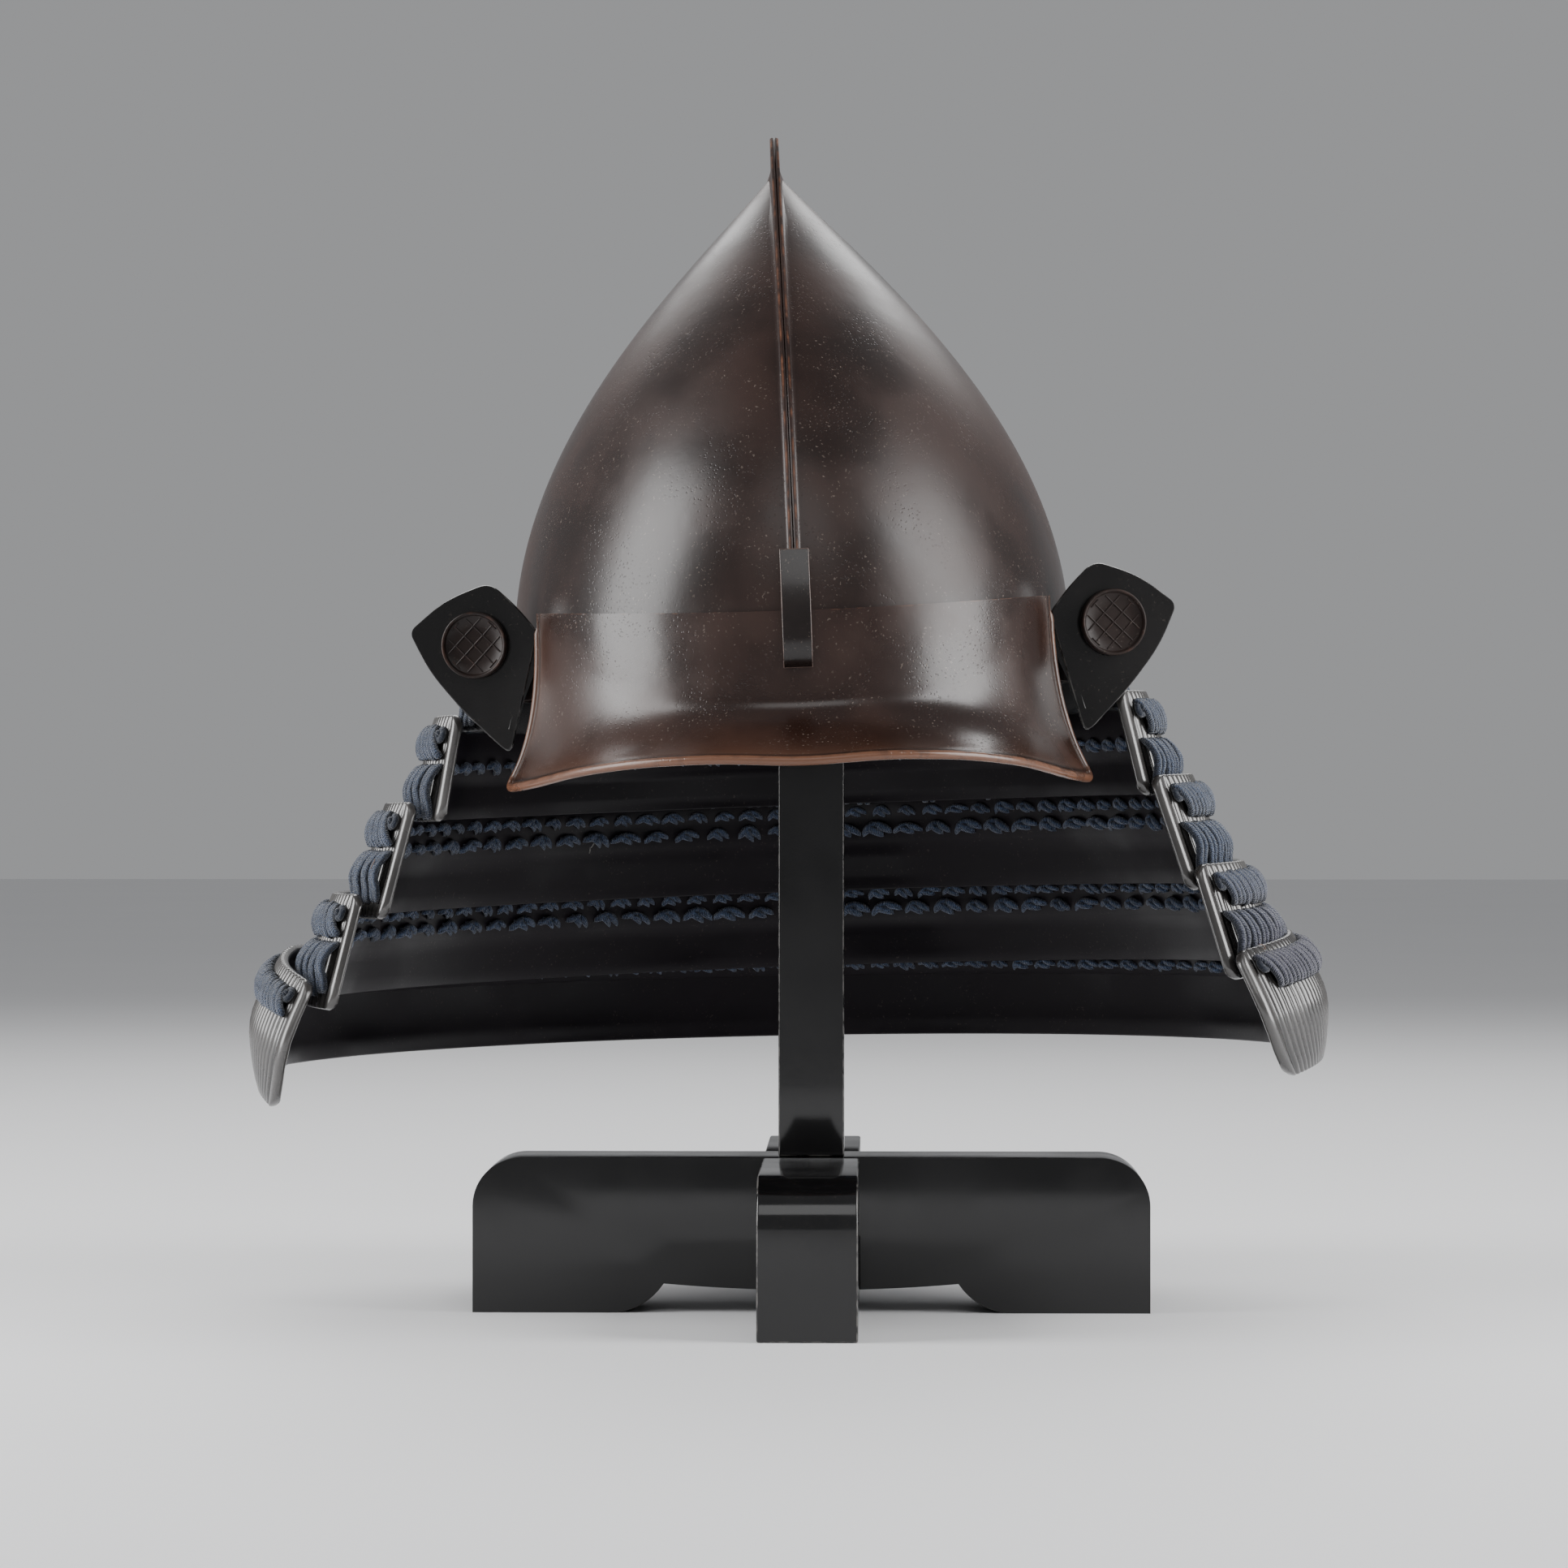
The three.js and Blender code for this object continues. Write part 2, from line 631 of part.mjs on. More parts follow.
function postHead() {
  const { radius, rimH, topH, rows, steps } = HEAD;
  const low = POST.topH + GAP;
  const dome = topH - low - rimH;
  const profile = [new THREE.Vector2(0, low), new THREE.Vector2(radius, low)];
  for (const r of range(rows)) {
    const angle = (r / rows) * (Math.PI / 2);
    profile.push(new THREE.Vector2(radius * Math.cos(angle), low + rimH + dome * Math.sin(angle)));
  }
  profile.push(new THREE.Vector2(0, topH));
  const head = new THREE.LatheGeometry(profile, steps);
  head.rotateX(Math.PI / 2);
  return meshOf("post_head", head, STAND_LACQUER);
}

// ---- Assembly ----

const helmet = new THREE.Group();
helmet.position.set(HELMET.x, 0, HELMET.rimZ);
helmet.rotation.set(0, radians(HELMET.lean), radians(HELMET.turn), "ZYX");
helmet.add(...bowlHalves(), waistBand(), peak(), crestHolder(), topLame());
helmet.add(badge("badge_left", -1), badge("badge_right", 1));
helmet.add(...LAMES.map(lameMesh), ...lacingMeshes());

const stand = new THREE.Group();
stand.add(...baseBoards(), post(), postHead());

const part = new THREE.Group();
part.add(helmet, stand);

export default part;
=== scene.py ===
"""A laced samurai helmet on its plain wooden stand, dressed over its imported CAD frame.

Sizes are in millimetres in the maker's own frames and become metres where a mesh is made.
"""

from __future__ import annotations

import logging
import math
from collections.abc import Callable
from dataclasses import dataclass, field, fields
from enum import Enum
from functools import cache

import bmesh
import bpy
import numpy as np
from bpy.types import Material, Mesh, Node, NodeSocket, NodeTree, Object
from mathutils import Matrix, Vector


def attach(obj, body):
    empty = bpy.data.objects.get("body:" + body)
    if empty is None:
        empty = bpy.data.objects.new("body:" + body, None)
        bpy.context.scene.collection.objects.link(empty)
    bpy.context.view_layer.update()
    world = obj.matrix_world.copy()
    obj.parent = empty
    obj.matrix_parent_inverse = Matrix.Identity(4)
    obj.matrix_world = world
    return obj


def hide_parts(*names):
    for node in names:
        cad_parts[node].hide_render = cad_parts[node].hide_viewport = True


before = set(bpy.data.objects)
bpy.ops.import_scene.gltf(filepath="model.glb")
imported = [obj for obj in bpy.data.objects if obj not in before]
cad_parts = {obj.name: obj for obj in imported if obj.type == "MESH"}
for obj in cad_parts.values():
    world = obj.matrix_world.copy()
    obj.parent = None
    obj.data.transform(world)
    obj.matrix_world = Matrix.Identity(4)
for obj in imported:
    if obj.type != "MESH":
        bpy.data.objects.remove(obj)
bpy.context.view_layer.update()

LOG = logging.getLogger("helmet")
Array = np.ndarray
Colour = tuple[float, float, float]
Value = float | tuple | NodeSocket
BODY = "root"
WELD = 2e-6
SLIVER = 1e-7
GRAIN_DEPTH = 0.0006
LAME_WALL = 2.8
QUAD = ((0, 0), (0, 1), (1, 1), (1, 0))


class Slot(Enum):
    """The record's material slots."""

    BROWN = "brown_lacquer"
    BLACK = "black_lacquer"
    BADGE = "badge_lacquer"
    LAME = "lame_lacquer"
    LACING = "indigo_lacing"
    STAND = "stand_lacquer"


class Side(Enum):
    """A side of the helmet, as its sign on X."""

    LEFT = -1
    RIGHT = 1


# ---- Small helpers ----


def ease(x: Array | float, xs: list[float], ys: list[float]) -> Array:
    """A smooth curve through given points.

    Args:
        x: where to read it.
        xs: rising places of the points.
        ys: values at the points.

    Returns:
        The curve's values at x.
    """
    px, py = np.asarray(xs, float), np.asarray(ys, float)
    slope = np.gradient(py, px) if len(px) > 2 else np.full(2, (py[1] - py[0]) / (px[1] - px[0]))
    x = np.clip(np.asarray(x, float), px[0], px[-1])
    i = np.clip(np.searchsorted(px, x) - 1, 0, len(px) - 2)
    step = px[i + 1] - px[i]
    t = (x - px[i]) / step
    start = (1 + 2 * t) * (1 - t) ** 2 * py[i] + t * (1 - t) ** 2 * step * slope[i]
    end = t**2 * (3 - 2 * t) * py[i + 1] - t**2 * (1 - t) * step * slope[i + 1]
    return start + end


def unit(vectors: Array) -> Array:
    """The vectors at length 1."""
    return vectors / np.maximum(np.linalg.norm(vectors, axis=-1, keepdims=True), 1e-9)


def cos_sin(degrees: float) -> tuple[float, float]:
    """The cosine and sine of an angle in degrees."""
    return math.cos(math.radians(degrees)), math.sin(math.radians(degrees))


def turned(points: Array, degrees: float) -> Array:
    """The points turned about the upright axis."""
    c, s = cos_sin(degrees)
    return points @ np.array([[c, s, 0], [-s, c, 0], [0, 0, 1]])


def sheet_normals(grid: Array) -> Array:
    """Normals of a grid of points, from its rows and columns."""
    return unit(np.cross(np.gradient(grid, axis=0), np.gradient(grid, axis=1)))


def bent(t: Array, start: Array | float, knee: Array | float, end: Array | float) -> Array:
    """A curve from start to end that a knee draws to itself, at shares t of its way."""
    return (1 - t) ** 2 * start + 2 * t * (1 - t) * knee + t**2 * end


def corner_cut(radius: float, from_edge: Array) -> Array:
    """How much a round corner takes off a plate's end at a distance from its side edge."""
    return radius - np.sqrt(np.maximum(radius**2 - np.maximum(radius - from_edge, 0) ** 2, 0))


def around_circle(steps: int) -> Array:
    """The angles of equal steps round a circle."""
    return np.arange(steps) * 2 * math.pi / steps


@dataclass(frozen=True)
class Stance:
    """How the helmet stands on its post."""

    across: float = -6.8
    rim_height: float = 245.0
    lean: float = -2.1
    turn: float = 1.7

    def directions(self, vectors: Array) -> Array:
        """Directions of the helmet's frame in the world."""
        c, s = cos_sin(self.lean)
        leaned = vectors @ np.array([[c, 0, -s], [0, 1, 0], [s, 0, c]])
        return turned(leaned, self.turn)

    def world(self, points: Array) -> Array:
        """Points of the helmet's frame in the world, in metres."""
        return (self.directions(points) + [self.across, 0, self.rim_height]) / 1000


STANCE = Stance()


def on_stand(points: Array) -> Array:
    """Points of the stand in the world, in metres."""
    return np.asarray(points) / 1000


class Form:
    """Faces gathered in millimetres until they become one mesh."""

    def __init__(self) -> None:
        """Starts with nothing in it."""
        self.points: list[Array] = []
        self.faces: list[tuple[int, ...]] = []
        self.values: dict[str, list[Array]] = {}
        self.count = 0

    def add(self, points: Array, faces: list[tuple[int, ...]], **values: Array | float) -> None:
        """Adds points with their faces.

        Args:
            points: the new points.
            faces: faces as indices into the new points.
            values: named values of the points, such as their wear.
        """
        points = np.asarray(points, float).reshape(-1, 3)
        for name in sorted({*self.values, *values}):
            known = self.values.setdefault(name, [np.zeros(self.count)])
            given = np.asarray(values.get(name, 0.0), float)
            known.append(np.broadcast_to(given.reshape(-1) if given.ndim else given, len(points)))
        self.points.append(points)
        self.faces += [tuple(i + self.count for i in face) for face in faces]
        self.count += len(points)

    def sheet(self, grid: Array, wrap: bool = False, **values: Array | float) -> None:
        """Adds quads through a grid of points.

        Args:
            grid: points[u][v].
            wrap: whether the last v joins the first.
            values: named values of the points.
        """
        rows, columns = grid.shape[:2]
        spots = ((u, v) for u in range(rows - 1) for v in range(columns if wrap else columns - 1))
        faces = [tuple((u + a) * columns + (v + b) % columns for a, b in QUAD) for u, v in spots]
        self.add(grid, faces, **values)

    def tube(self, sections: Array, **values: Array | float) -> None:
        """Adds a tube with flat ends through closed sections, points[section][around]."""
        around = sections.shape[1]
        start = self.count
        self.sheet(sections, wrap=True, **values)
        last = start + (len(sections) - 1) * around
        self.faces += [tuple(range(start, start + around))[::-1], tuple(range(last, last + around))]

    def piece(self, name: str, place: Callable[[Array], Array], sharp: float = 40.0) -> Object:
        """Makes the gathered faces one object with outward faces.

        Args:
            name: the object's name.
            place: the function that takes the points into the world.
            sharp: edges over this angle in degrees stay crisp.

        Returns:
            The new object, at the origin.
        """
        mesh = bpy.data.meshes.new(name)
        mesh.from_pydata(place(np.concatenate(self.points)).tolist(), [], self.faces)
        for label, parts in self.values.items():
            layer = mesh.attributes.new(label, "FLOAT", "POINT")
            layer.data.foreach_set("value", np.concatenate(parts).astype(np.float32))
        face_outward(mesh, weld=True)
        mesh.shade_smooth()
        mesh.set_sharp_from_angle(angle=math.radians(sharp))
        return link(bpy.data.objects.new(name, mesh))


def link(obj: Object) -> Object:
    """Puts an object in the scene and returns it."""
    bpy.context.scene.collection.objects.link(obj)
    return obj


def face_outward(mesh: Mesh, weld: bool = False) -> None:
    """Turns a mesh's faces outward, after joining points that touch if asked to weld."""
    tidy = bmesh.new()
    tidy.from_mesh(mesh)
    if weld:
        bmesh.ops.remove_doubles(tidy, verts=tidy.verts, dist=WELD)
        bmesh.ops.dissolve_degenerate(tidy, edges=tidy.edges, dist=SLIVER)
    bmesh.ops.recalc_face_normals(tidy, faces=tidy.faces)
    tidy.to_mesh(mesh)
    tidy.free()


def plain_mesh(obj: Object) -> Mesh:
    """The mesh that an object's modifiers make of it."""
    graph = bpy.context.evaluated_depsgraph_get()
    made = obj.evaluated_get(graph)
    return bpy.data.meshes.new_from_object(made, preserve_all_data_layers=True, depsgraph=graph)


def soften(obj: Object, width: float, reach: float) -> None:
    """Rounds a piece's crisp edges and marks the points inside the rounded strips as worn.

    Args:
        obj: the piece.
        width: width of the rounding, in millimetres.
        reach: faces narrower than this are on an edge.
    """
    bevel = obj.modifiers.new("Soft edges", "BEVEL")
    bevel.width, bevel.segments = width / 1000, 4
    bevel.limit_method, bevel.angle_limit = "ANGLE", math.radians(35)
    mesh = plain_mesh(obj)
    obj.modifiers.remove(bevel)
    obj.data = mesh
    narrow = np.ones(len(mesh.vertices), bool)
    for face in mesh.polygons:
        corners = [mesh.vertices[i].co for i in face.vertices]
        sides = [(a - b).length for a, b in zip(corners, corners[1:] + corners[:1])]
        if min(sides) > reach / 1000 or len(corners) > 4:
            narrow[list(face.vertices)] = False
    mesh.attributes["edge"].data.foreach_set("value", np.where(narrow, 0.75, 0.0).astype(np.float32))
    mesh.shade_smooth()
    mesh.set_sharp_from_angle(angle=math.radians(40))


def swept(path: Array, across: Array, up: Array, section: Array) -> Array:
    """Sections set along a path.

    Args:
        path: points of the path.
        across: direction of the section's first axis, one for all or one for each point.
        up: direction of its second axis.
        section: points[around][2], or points[step][around][2].

    Returns:
        points[step][around][3].
    """
    section = np.broadcast_to(section, (len(path), *section.shape[-2:]))
    across, up = (np.broadcast_to(way, path.shape)[:, None] for way in (across, up))
    return path[:, None] + section[..., :1] * across + section[..., 1:] * up


def oval_section(width: float, height: float, sides: int) -> Array:
    """Points around an oval of a width and a height."""
    turn = around_circle(sides)
    return np.stack([np.cos(turn) * width / 2, np.sin(turn) * height / 2], 1)


def lathed(profile: Array, steps: int) -> Array:
    """A profile of radius and height turned about Z, as points[level][around]."""
    turn = around_circle(steps)
    ring = np.stack([np.cos(turn), np.sin(turn), np.zeros(steps)], 1)
    return profile[:, None, :1] * ring + profile[:, None, 1:] * [0, 0, 1]


def path_frames(path: Array) -> tuple[Array, Array]:
    """Two directions square to a path that twist as little as they can."""
    along = unit(np.gradient(path, axis=0))
    side = unit(np.cross(along[0], [0.31, 0.17, 0.93]))
    across = []
    for tangent in along:
        side = unit(side - tangent * (side @ tangent))
        across.append(side)
    across = np.array(across)
    return across, np.cross(along, across)


# ---- Node groups and finishes ----


class Graph:
    """A node tree that is filled by short calls."""

    def __init__(self, tree: NodeTree) -> None:
        """Keeps the tree to fill."""
        self.tree = tree

    def node(self, kind: str, settings: dict | None = None, **inputs) -> Node:
        """Adds a node.

        Args:
            kind: the node's type, without its prefix where that is ShaderNode.
            settings: its own properties.
            inputs: values or links by socket name, with _ for a space, or by i and a number.

        Returns:
            The node.
        """
        made = self.tree.nodes.new(kind if "Node" in kind else f"ShaderNode{kind}")
        for name, value in (settings or {}).items():
            setattr(made, name, value)
        for name, value in inputs.items():
            numbered = name[0] == "i" and name[1:].isdigit()
            self.feed(made.inputs[int(name[1:]) if numbered else name.replace("_", " ")], value)
        return made

    def result(self, kind: str, settings: dict | None = None, **inputs) -> NodeSocket:
        """Adds a node and gives its first output."""
        return self.node(kind, settings, **inputs).outputs[0]

    def feed(self, socket: NodeSocket, value: Value) -> None:
        """Links a socket to another, or sets its value."""
        if isinstance(value, NodeSocket):
            self.tree.links.new(value, socket)
        elif isinstance(value, tuple) and len(value) == 3 and socket.type == "RGBA":
            socket.default_value = (*value, 1.0)
        else:
            socket.default_value = value

    def maths(self, operation: str, a: Value, b: Value = 0.0, clamp: bool = False) -> NodeSocket:
        """The result of one sum of two values."""
        return self.result("Math", {"operation": operation, "use_clamp": clamp}, i0=a, i1=b)

    def plus(self, a: Value, b: Value) -> NodeSocket:
        """Two values added."""
        return self.maths("ADD", a, b)

    def minus(self, a: Value, b: Value) -> NodeSocket:
        """One value less another."""
        return self.maths("SUBTRACT", a, b)

    def times(self, a: Value, b: Value, clamp: bool = False) -> NodeSocket:
        """Two values multiplied."""
        return self.maths("MULTIPLY", a, b, clamp)

    def mixed(self, factor: Value, a: Value, b: Value) -> NodeSocket:
        """A colour between two."""
        return self.node("Mix", {"data_type": "RGBA"}, i0=factor, i6=a, i7=b).outputs[2]

    def between(
        self, value: Value, low: float, high: float, start: float = 0.0, end: float = 1.0
    ) -> NodeSocket:
        """A value's range low to high, stretched to start to end."""
        ends = {"From_Min": low, "From_Max": high, "To_Min": start, "To_Max": end}
        return self.result("MapRange", {"interpolation_type": "SMOOTHSTEP"}, Value=value, **ends)

    def place(self) -> NodeSocket:
        """The place on the object, in a shader."""
        return self.node("TexCoord").outputs["Object"]

    def noise(self, scale: float | NodeSocket, detail: float = 3.0) -> NodeSocket:
        """Noise on the object's own place."""
        return self.result("TexNoise", Vector=self.place(), Scale=scale, Detail=detail)

    def group(self, group: NodeTree, **inputs) -> dict[str, NodeSocket]:
        """Places a shader group and gives its outputs by name."""
        return dict(self.node("Group", {"node_tree": group}, **inputs).outputs.items())

    def painted(self, name: str) -> NodeSocket:
        """A named attribute, in a shader."""
        return self.node("Attribute", {"attribute_name": name}).outputs["Fac"]

    def read(self, name: str, kind: str = "FLOAT") -> NodeSocket:
        """A named attribute, in Geometry Nodes."""
        made = self.node("GeometryNodeInputNamedAttribute", {"data_type": kind}, Name=name)
        return made.outputs["Attribute"]

    def stored(self, geometry: NodeSocket, name: str, value: NodeSocket, domain: str) -> NodeSocket:
        """Geometry that keeps a value as a named attribute."""
        settings, inputs = {"data_type": "FLOAT", "domain": domain}, {"Name": name, "Value": value}
        return self.result("GeometryNodeStoreNamedAttribute", settings, Geometry=geometry, **inputs)

    def covered(self, geometry: NodeSocket, material: NodeSocket, **inputs) -> NodeSocket:
        """Geometry with a material."""
        return self.result("GeometryNodeSetMaterial", Geometry=geometry, Material=material, **inputs)


def new_group(
    name: str, inputs: dict[str, str | float], outputs: tuple[str, ...], kind: str = "Shader"
) -> tuple[Graph, dict, dict]:
    """Starts a node group.

    Args:
        name: the group's name.
        inputs: its inputs, each with its default value or its socket's type.
        outputs: its outputs, which are values in a shader.
        kind: Shader or Geometry.

    Returns:
        Its graph, its inputs' sockets by name, and its outputs' sockets by name.
    """
    tree = bpy.data.node_groups.new(name, f"{kind}NodeTree")
    for label, given in inputs.items():
        typed = given if isinstance(given, str) else "Float"
        socket = tree.interface.new_socket(label, in_out="INPUT", socket_type=f"NodeSocket{typed}")
        if typed != given:
            socket.default_value = given
    made = {"Shader": "Float", "Geometry": "Geometry"}[kind]
    for label in outputs:
        tree.interface.new_socket(label, in_out="OUTPUT", socket_type=f"NodeSocket{made}")
    graph = Graph(tree)
    entry, leave = graph.node("NodeGroupInput"), graph.node("NodeGroupOutput")
    return graph, dict(entry.outputs.items()), dict(leave.inputs.items())


@cache
def lacquer_skin_group() -> NodeTree:
    """Old lacquer: clouds of gloss, fine pits and specks.

    Returns:
        The group, with Cloud, Specks and Height outputs.
    """
    g, got, out = new_group("Lacquer skin", {"Pits": 0.5, "Specks": 0.5}, ("Cloud", "Specks", "Height"))
    g.feed(out["Cloud"], g.between(g.noise(16.0, 4.0), 0.34, 0.66))
    pores = g.node("TexVoronoi", {"feature": "F1"}, Vector=g.place(), Scale=620.0).outputs["Distance"]
    patches = g.between(g.noise(38.0), 0.42, 0.68)
    pit = g.times(g.between(pores, 0.14, 0.3, 1.0, 0.0), patches)
    grain, orange_peel = g.noise(900.0, 2.0), g.noise(130.0, 2.0)
    rise = g.plus(g.times(grain, 0.12), g.times(orange_peel, 0.5))
    g.feed(out["Height"], g.minus(rise, g.times(pit, got["Pits"])))
    dots = g.between(g.noise(950.0, 1.0), 0.66, 0.74)
    spots = g.times(dots, g.between(g.noise(60.0), 0.4, 0.62))
    g.feed(out["Specks"], g.times(spots, got["Specks"], clamp=True))
    return g.tree


@cache
def edge_wear_group() -> NodeTree:
    """Wear that eats in unevenly from marked edges, as a mask."""
    g, got, out = new_group("Edge wear", {"Edge": 0.0, "Grain": 160.0, "Reach": 0.5}, ("Mask",))
    uneven = g.between(g.noise(got["Grain"], 4.0), 0.3, 0.7, 0.65, 1.3)
    near = g.times(got["Edge"], uneven)
    start = g.minus(1.0, got["Reach"])
    g.feed(out["Mask"], g.times(g.minus(near, start), 3.0, clamp=True))
    return g.tree


@cache
def braid_group() -> NodeTree:
    """Plaited threads on a cord's own map: U runs round it and V along it.

    Returns:
        The group, with Height and Shade outputs; Shade is painted shade, darker in the braid's grooves and on
        the cord's flanks where it lies against its neighbours.
    """
    inputs = {"Map": "Vector", "Round": 6.0, "Along": 6.0}
    g, got, out = new_group("Braid", inputs, ("Height", "Shade"))
    parts = g.node("SeparateXYZ", Vector=got["Map"]).outputs
    round_, along = g.times(parts[0], got["Round"]), g.times(parts[1], got["Along"])
    chevron = g.maths("PINGPONG", round_, 0.5)
    loose = g.times(g.noise(520.0, 2.0), 1.6)
    wave = g.maths("SINE", g.times(g.plus(g.plus(along, chevron), loose), 2 * math.pi))
    ply = g.maths("ABSOLUTE", g.maths("SINE", g.times(g.plus(round_, loose), math.pi)))
    fuzz = g.times(g.noise(2400.0), 1.5)
    height = g.plus(g.plus(g.times(wave, 0.5), ply), fuzz)
    g.feed(out["Height"], height)
    # Painted shade: the flanks, where a cord lies against its neighbours, are painted darker.
    flank = g.maths("ABSOLUTE", g.maths("COSINE", g.times(parts[0], 2 * math.pi)))
    flank_painted_shade = g.minus(1.0, g.times(g.maths("POWER", flank, 3.0), 0.85))
    # Painted shade: low places of the braid take the dark end, high places the light end.
    g.feed(out["Shade"], g.times(g.between(height, 0.3, 1.9), flank_painted_shade))
    return g.tree


def new_material(name: str) -> tuple[Graph, Node]:
    """Starts a material and gives its graph and its Principled node."""
    made = bpy.data.materials.new(name)
    made.use_nodes = True
    return Graph(made.node_tree), made.node_tree.nodes["Principled BSDF"]


@dataclass(frozen=True)
class Lacquer:
    """A lacquer finish over iron, leather or wood."""

    name: str
    deep: Colour
    light: Colour
    worn: Colour
    gloss: tuple[float, float] = (0.2, 0.34)
    pits: float = 0.5
    specks: float = 0.5
    wear_reach: float = 0.5
    wear_rough: float = 0.5
    bump: float = 0.12
    coat: float = 0.15
    coat_rough: float = 0.3
    specular: float = 0.5
    speck: Colour = (0.15, 0.12, 0.1)
    # How dark the painted shade in grooves is, as a share of the deep colour.
    groove_shade: float = 0.12

    def material(self) -> Material:
        """Builds the material, with its wear on the edge attribute.

        The warm attribute tints it towards its worn colour, and the groove attribute paints shade into
        grooves by darkening it.

        Returns:
            The material.
        """
        g, face = new_material(self.name)
        skin = g.group(lacquer_skin_group(), Pits=self.pits, Specks=self.specks)
        worn = g.group(edge_wear_group(), Edge=g.painted("edge"), Reach=self.wear_reach)["Mask"]
        warm = g.times(g.painted("warm"), g.between(skin["Cloud"], 0, 1, 0.55, 1.0))
        tinted = g.mixed(warm, g.mixed(skin["Cloud"], self.deep, self.light), self.worn)
        speckled = g.mixed(skin["Specks"], tinted, self.speck)
        # Painted shade: where the groove attribute is high the colour goes to a darkened copy of the deep
        # colour.
        dark = tuple(self.groove_shade * part for part in self.deep)
        colour = g.mixed(g.painted("groove"), g.mixed(worn, speckled, self.worn), dark)
        rough = g.between(skin["Cloud"], 0.0, 1.0, *self.gloss)
        dulled = g.maths("MAXIMUM", rough, g.times(worn, self.wear_rough))
        bump = g.result("Bump", Strength=self.bump, Distance=GRAIN_DEPTH, Height=skin["Height"])
        looks = {
            "Base Color": colour, "Roughness": dulled, "Normal": bump, "Coat Weight": self.coat,
            "Coat Roughness": self.coat_rough, "Specular IOR Level": self.specular,
        }
        for label, value in looks.items():
            g.feed(face.inputs[label], value)
        return bpy.data.materials[self.name]


@dataclass(frozen=True)
class Cord:
    """Braided silk cord that has faded towards one side."""

    name: str
    dark: Colour = (0.0055, 0.0092, 0.019)
    light: Colour = (0.043, 0.068, 0.125)
    faded: Colour = (0.088, 0.08, 0.112)
    around: float = 4.0
    along: float = 5.0

    def material(self) -> Material:
        """Builds the material on the cord's own map.

        Returns:
            The material.
        """
        g, face = new_material(self.name)
        own_map = g.result("UVMap", {"uv_map": "UVMap"})
        braid = g.group(braid_group(), Map=own_map, Round=self.around, Along=self.along)
        shade = g.times(braid["Shade"], g.between(g.noise(700.0), 0.3, 0.7, 0.6, 1.1))
        # Painted shade from the braid: its grooves and the cord's flanks take the dark colour.
        blue = g.mixed(g.times(shade, g.painted("tone")), self.dark, self.light)
        place = g.node("SeparateXYZ", Vector=g.place()).outputs
        low_right = g.minus(g.plus(place[0], g.times(place[1], -0.25)), g.times(place[2], 0.75))
        patchy = g.plus(low_right, g.times(g.noise(45.0, 2.0), 0.05))
        fade = g.times(g.between(patchy, 0.05, 0.12), 0.8)
        looks = {
            "Base Color": g.mixed(fade, blue, g.mixed(shade, self.dark, self.faded)),
            "Normal": g.result("Bump", Strength=0.75, Distance=GRAIN_DEPTH, Height=braid["Height"]),
            "Roughness": 0.86, "Specular IOR Level": 0.25, "Sheen Weight": 0.35, "Sheen Roughness": 0.5,
        }
        for label, value in looks.items():
            g.feed(face.inputs[label], value)
        return bpy.data.materials[self.name]


BROWN = Lacquer(
    "brown lacquer", (0.0085, 0.0034, 0.0024), (0.022, 0.0088, 0.0058), (0.11, 0.042, 0.02),
    gloss=(0.28, 0.4), pits=0.8, specks=0.55, bump=0.2, coat=0.05, specular=0.42,
)
PEAK_BROWN = Lacquer(
    "peak lacquer", (0.0115, 0.0045, 0.003), (0.028, 0.0112, 0.007), (0.118, 0.05, 0.026),
    gloss=(0.24, 0.36), pits=0.8, specks=0.6, wear_reach=0.6, wear_rough=0.13, bump=0.2, coat=0.05,
)
HOLDER_BROWN = Lacquer(
    "holder lacquer", (0.0045, 0.0028, 0.0024), (0.0085, 0.005, 0.0042), (0.09, 0.06, 0.05),
    gloss=(0.16, 0.26), pits=0.3, specks=0.3, wear_reach=0.6, coat=0.2, coat_rough=0.12, specular=0.4,
)
BLACK = Lacquer(
    "black lacquer", (0.0035, 0.0032, 0.0032), (0.007, 0.0062, 0.006), (0.1, 0.095, 0.09),
    gloss=(0.12, 0.24), pits=0.2, specks=0.12, coat=0.2, coat_rough=0.15, specular=0.4,
)
BADGE_BROWN = Lacquer(
    "badge lacquer", (0.0065, 0.003, 0.0022), (0.012, 0.0056, 0.004), (0.05, 0.022, 0.014),
    gloss=(0.34, 0.5), pits=0.5, specks=0.3, coat=0.0, specular=0.25,
)
LAME_GREY = Lacquer(
    "lame lacquer", (0.024, 0.0222, 0.021), (0.052, 0.0485, 0.046), (0.2, 0.195, 0.19),
    gloss=(0.19, 0.32), pits=0.15, specks=0.2, wear_reach=0.42, wear_rough=0.26, coat=0.15, specular=0.95,
)
LAME_INSIDE = Lacquer(
    "lame inside", (0.0042, 0.0028, 0.0048), (0.0085, 0.0058, 0.0085), (0.1, 0.07, 0.06),
    gloss=(0.36, 0.54), pits=0.3, specks=0.2, coat=0.0, specular=0.22,
)
STAND_BLACK = Lacquer(
    "stand lacquer", (0.003, 0.0029, 0.0031), (0.005, 0.0048, 0.005), (0.085, 0.08, 0.075),
    gloss=(0.1, 0.22), pits=0.1, specks=0.08, wear_reach=0.43, bump=0.05, coat=0.3, coat_rough=0.1,
    specular=0.4,
)
INDIGO = Cord("indigo cord")
PALE_THREAD = Cord("pale thread", (0.3, 0.29, 0.27), (0.62, 0.6, 0.56), (0.62, 0.6, 0.56))
RUSTY_FIBRE = Cord("rusty fibre", (0.16, 0.09, 0.06), (0.3, 0.18, 0.12), (0.3, 0.18, 0.12))
# A lighter copy of the indigo cord for the stitches inside the lames: painted light that lifts them out of
# the shade they sit in.
LIT_INNER_INDIGO = Cord("inner indigo cord", (0.009, 0.015, 0.032), (0.085, 0.13, 0.235), (0.085, 0.13, 0.235))


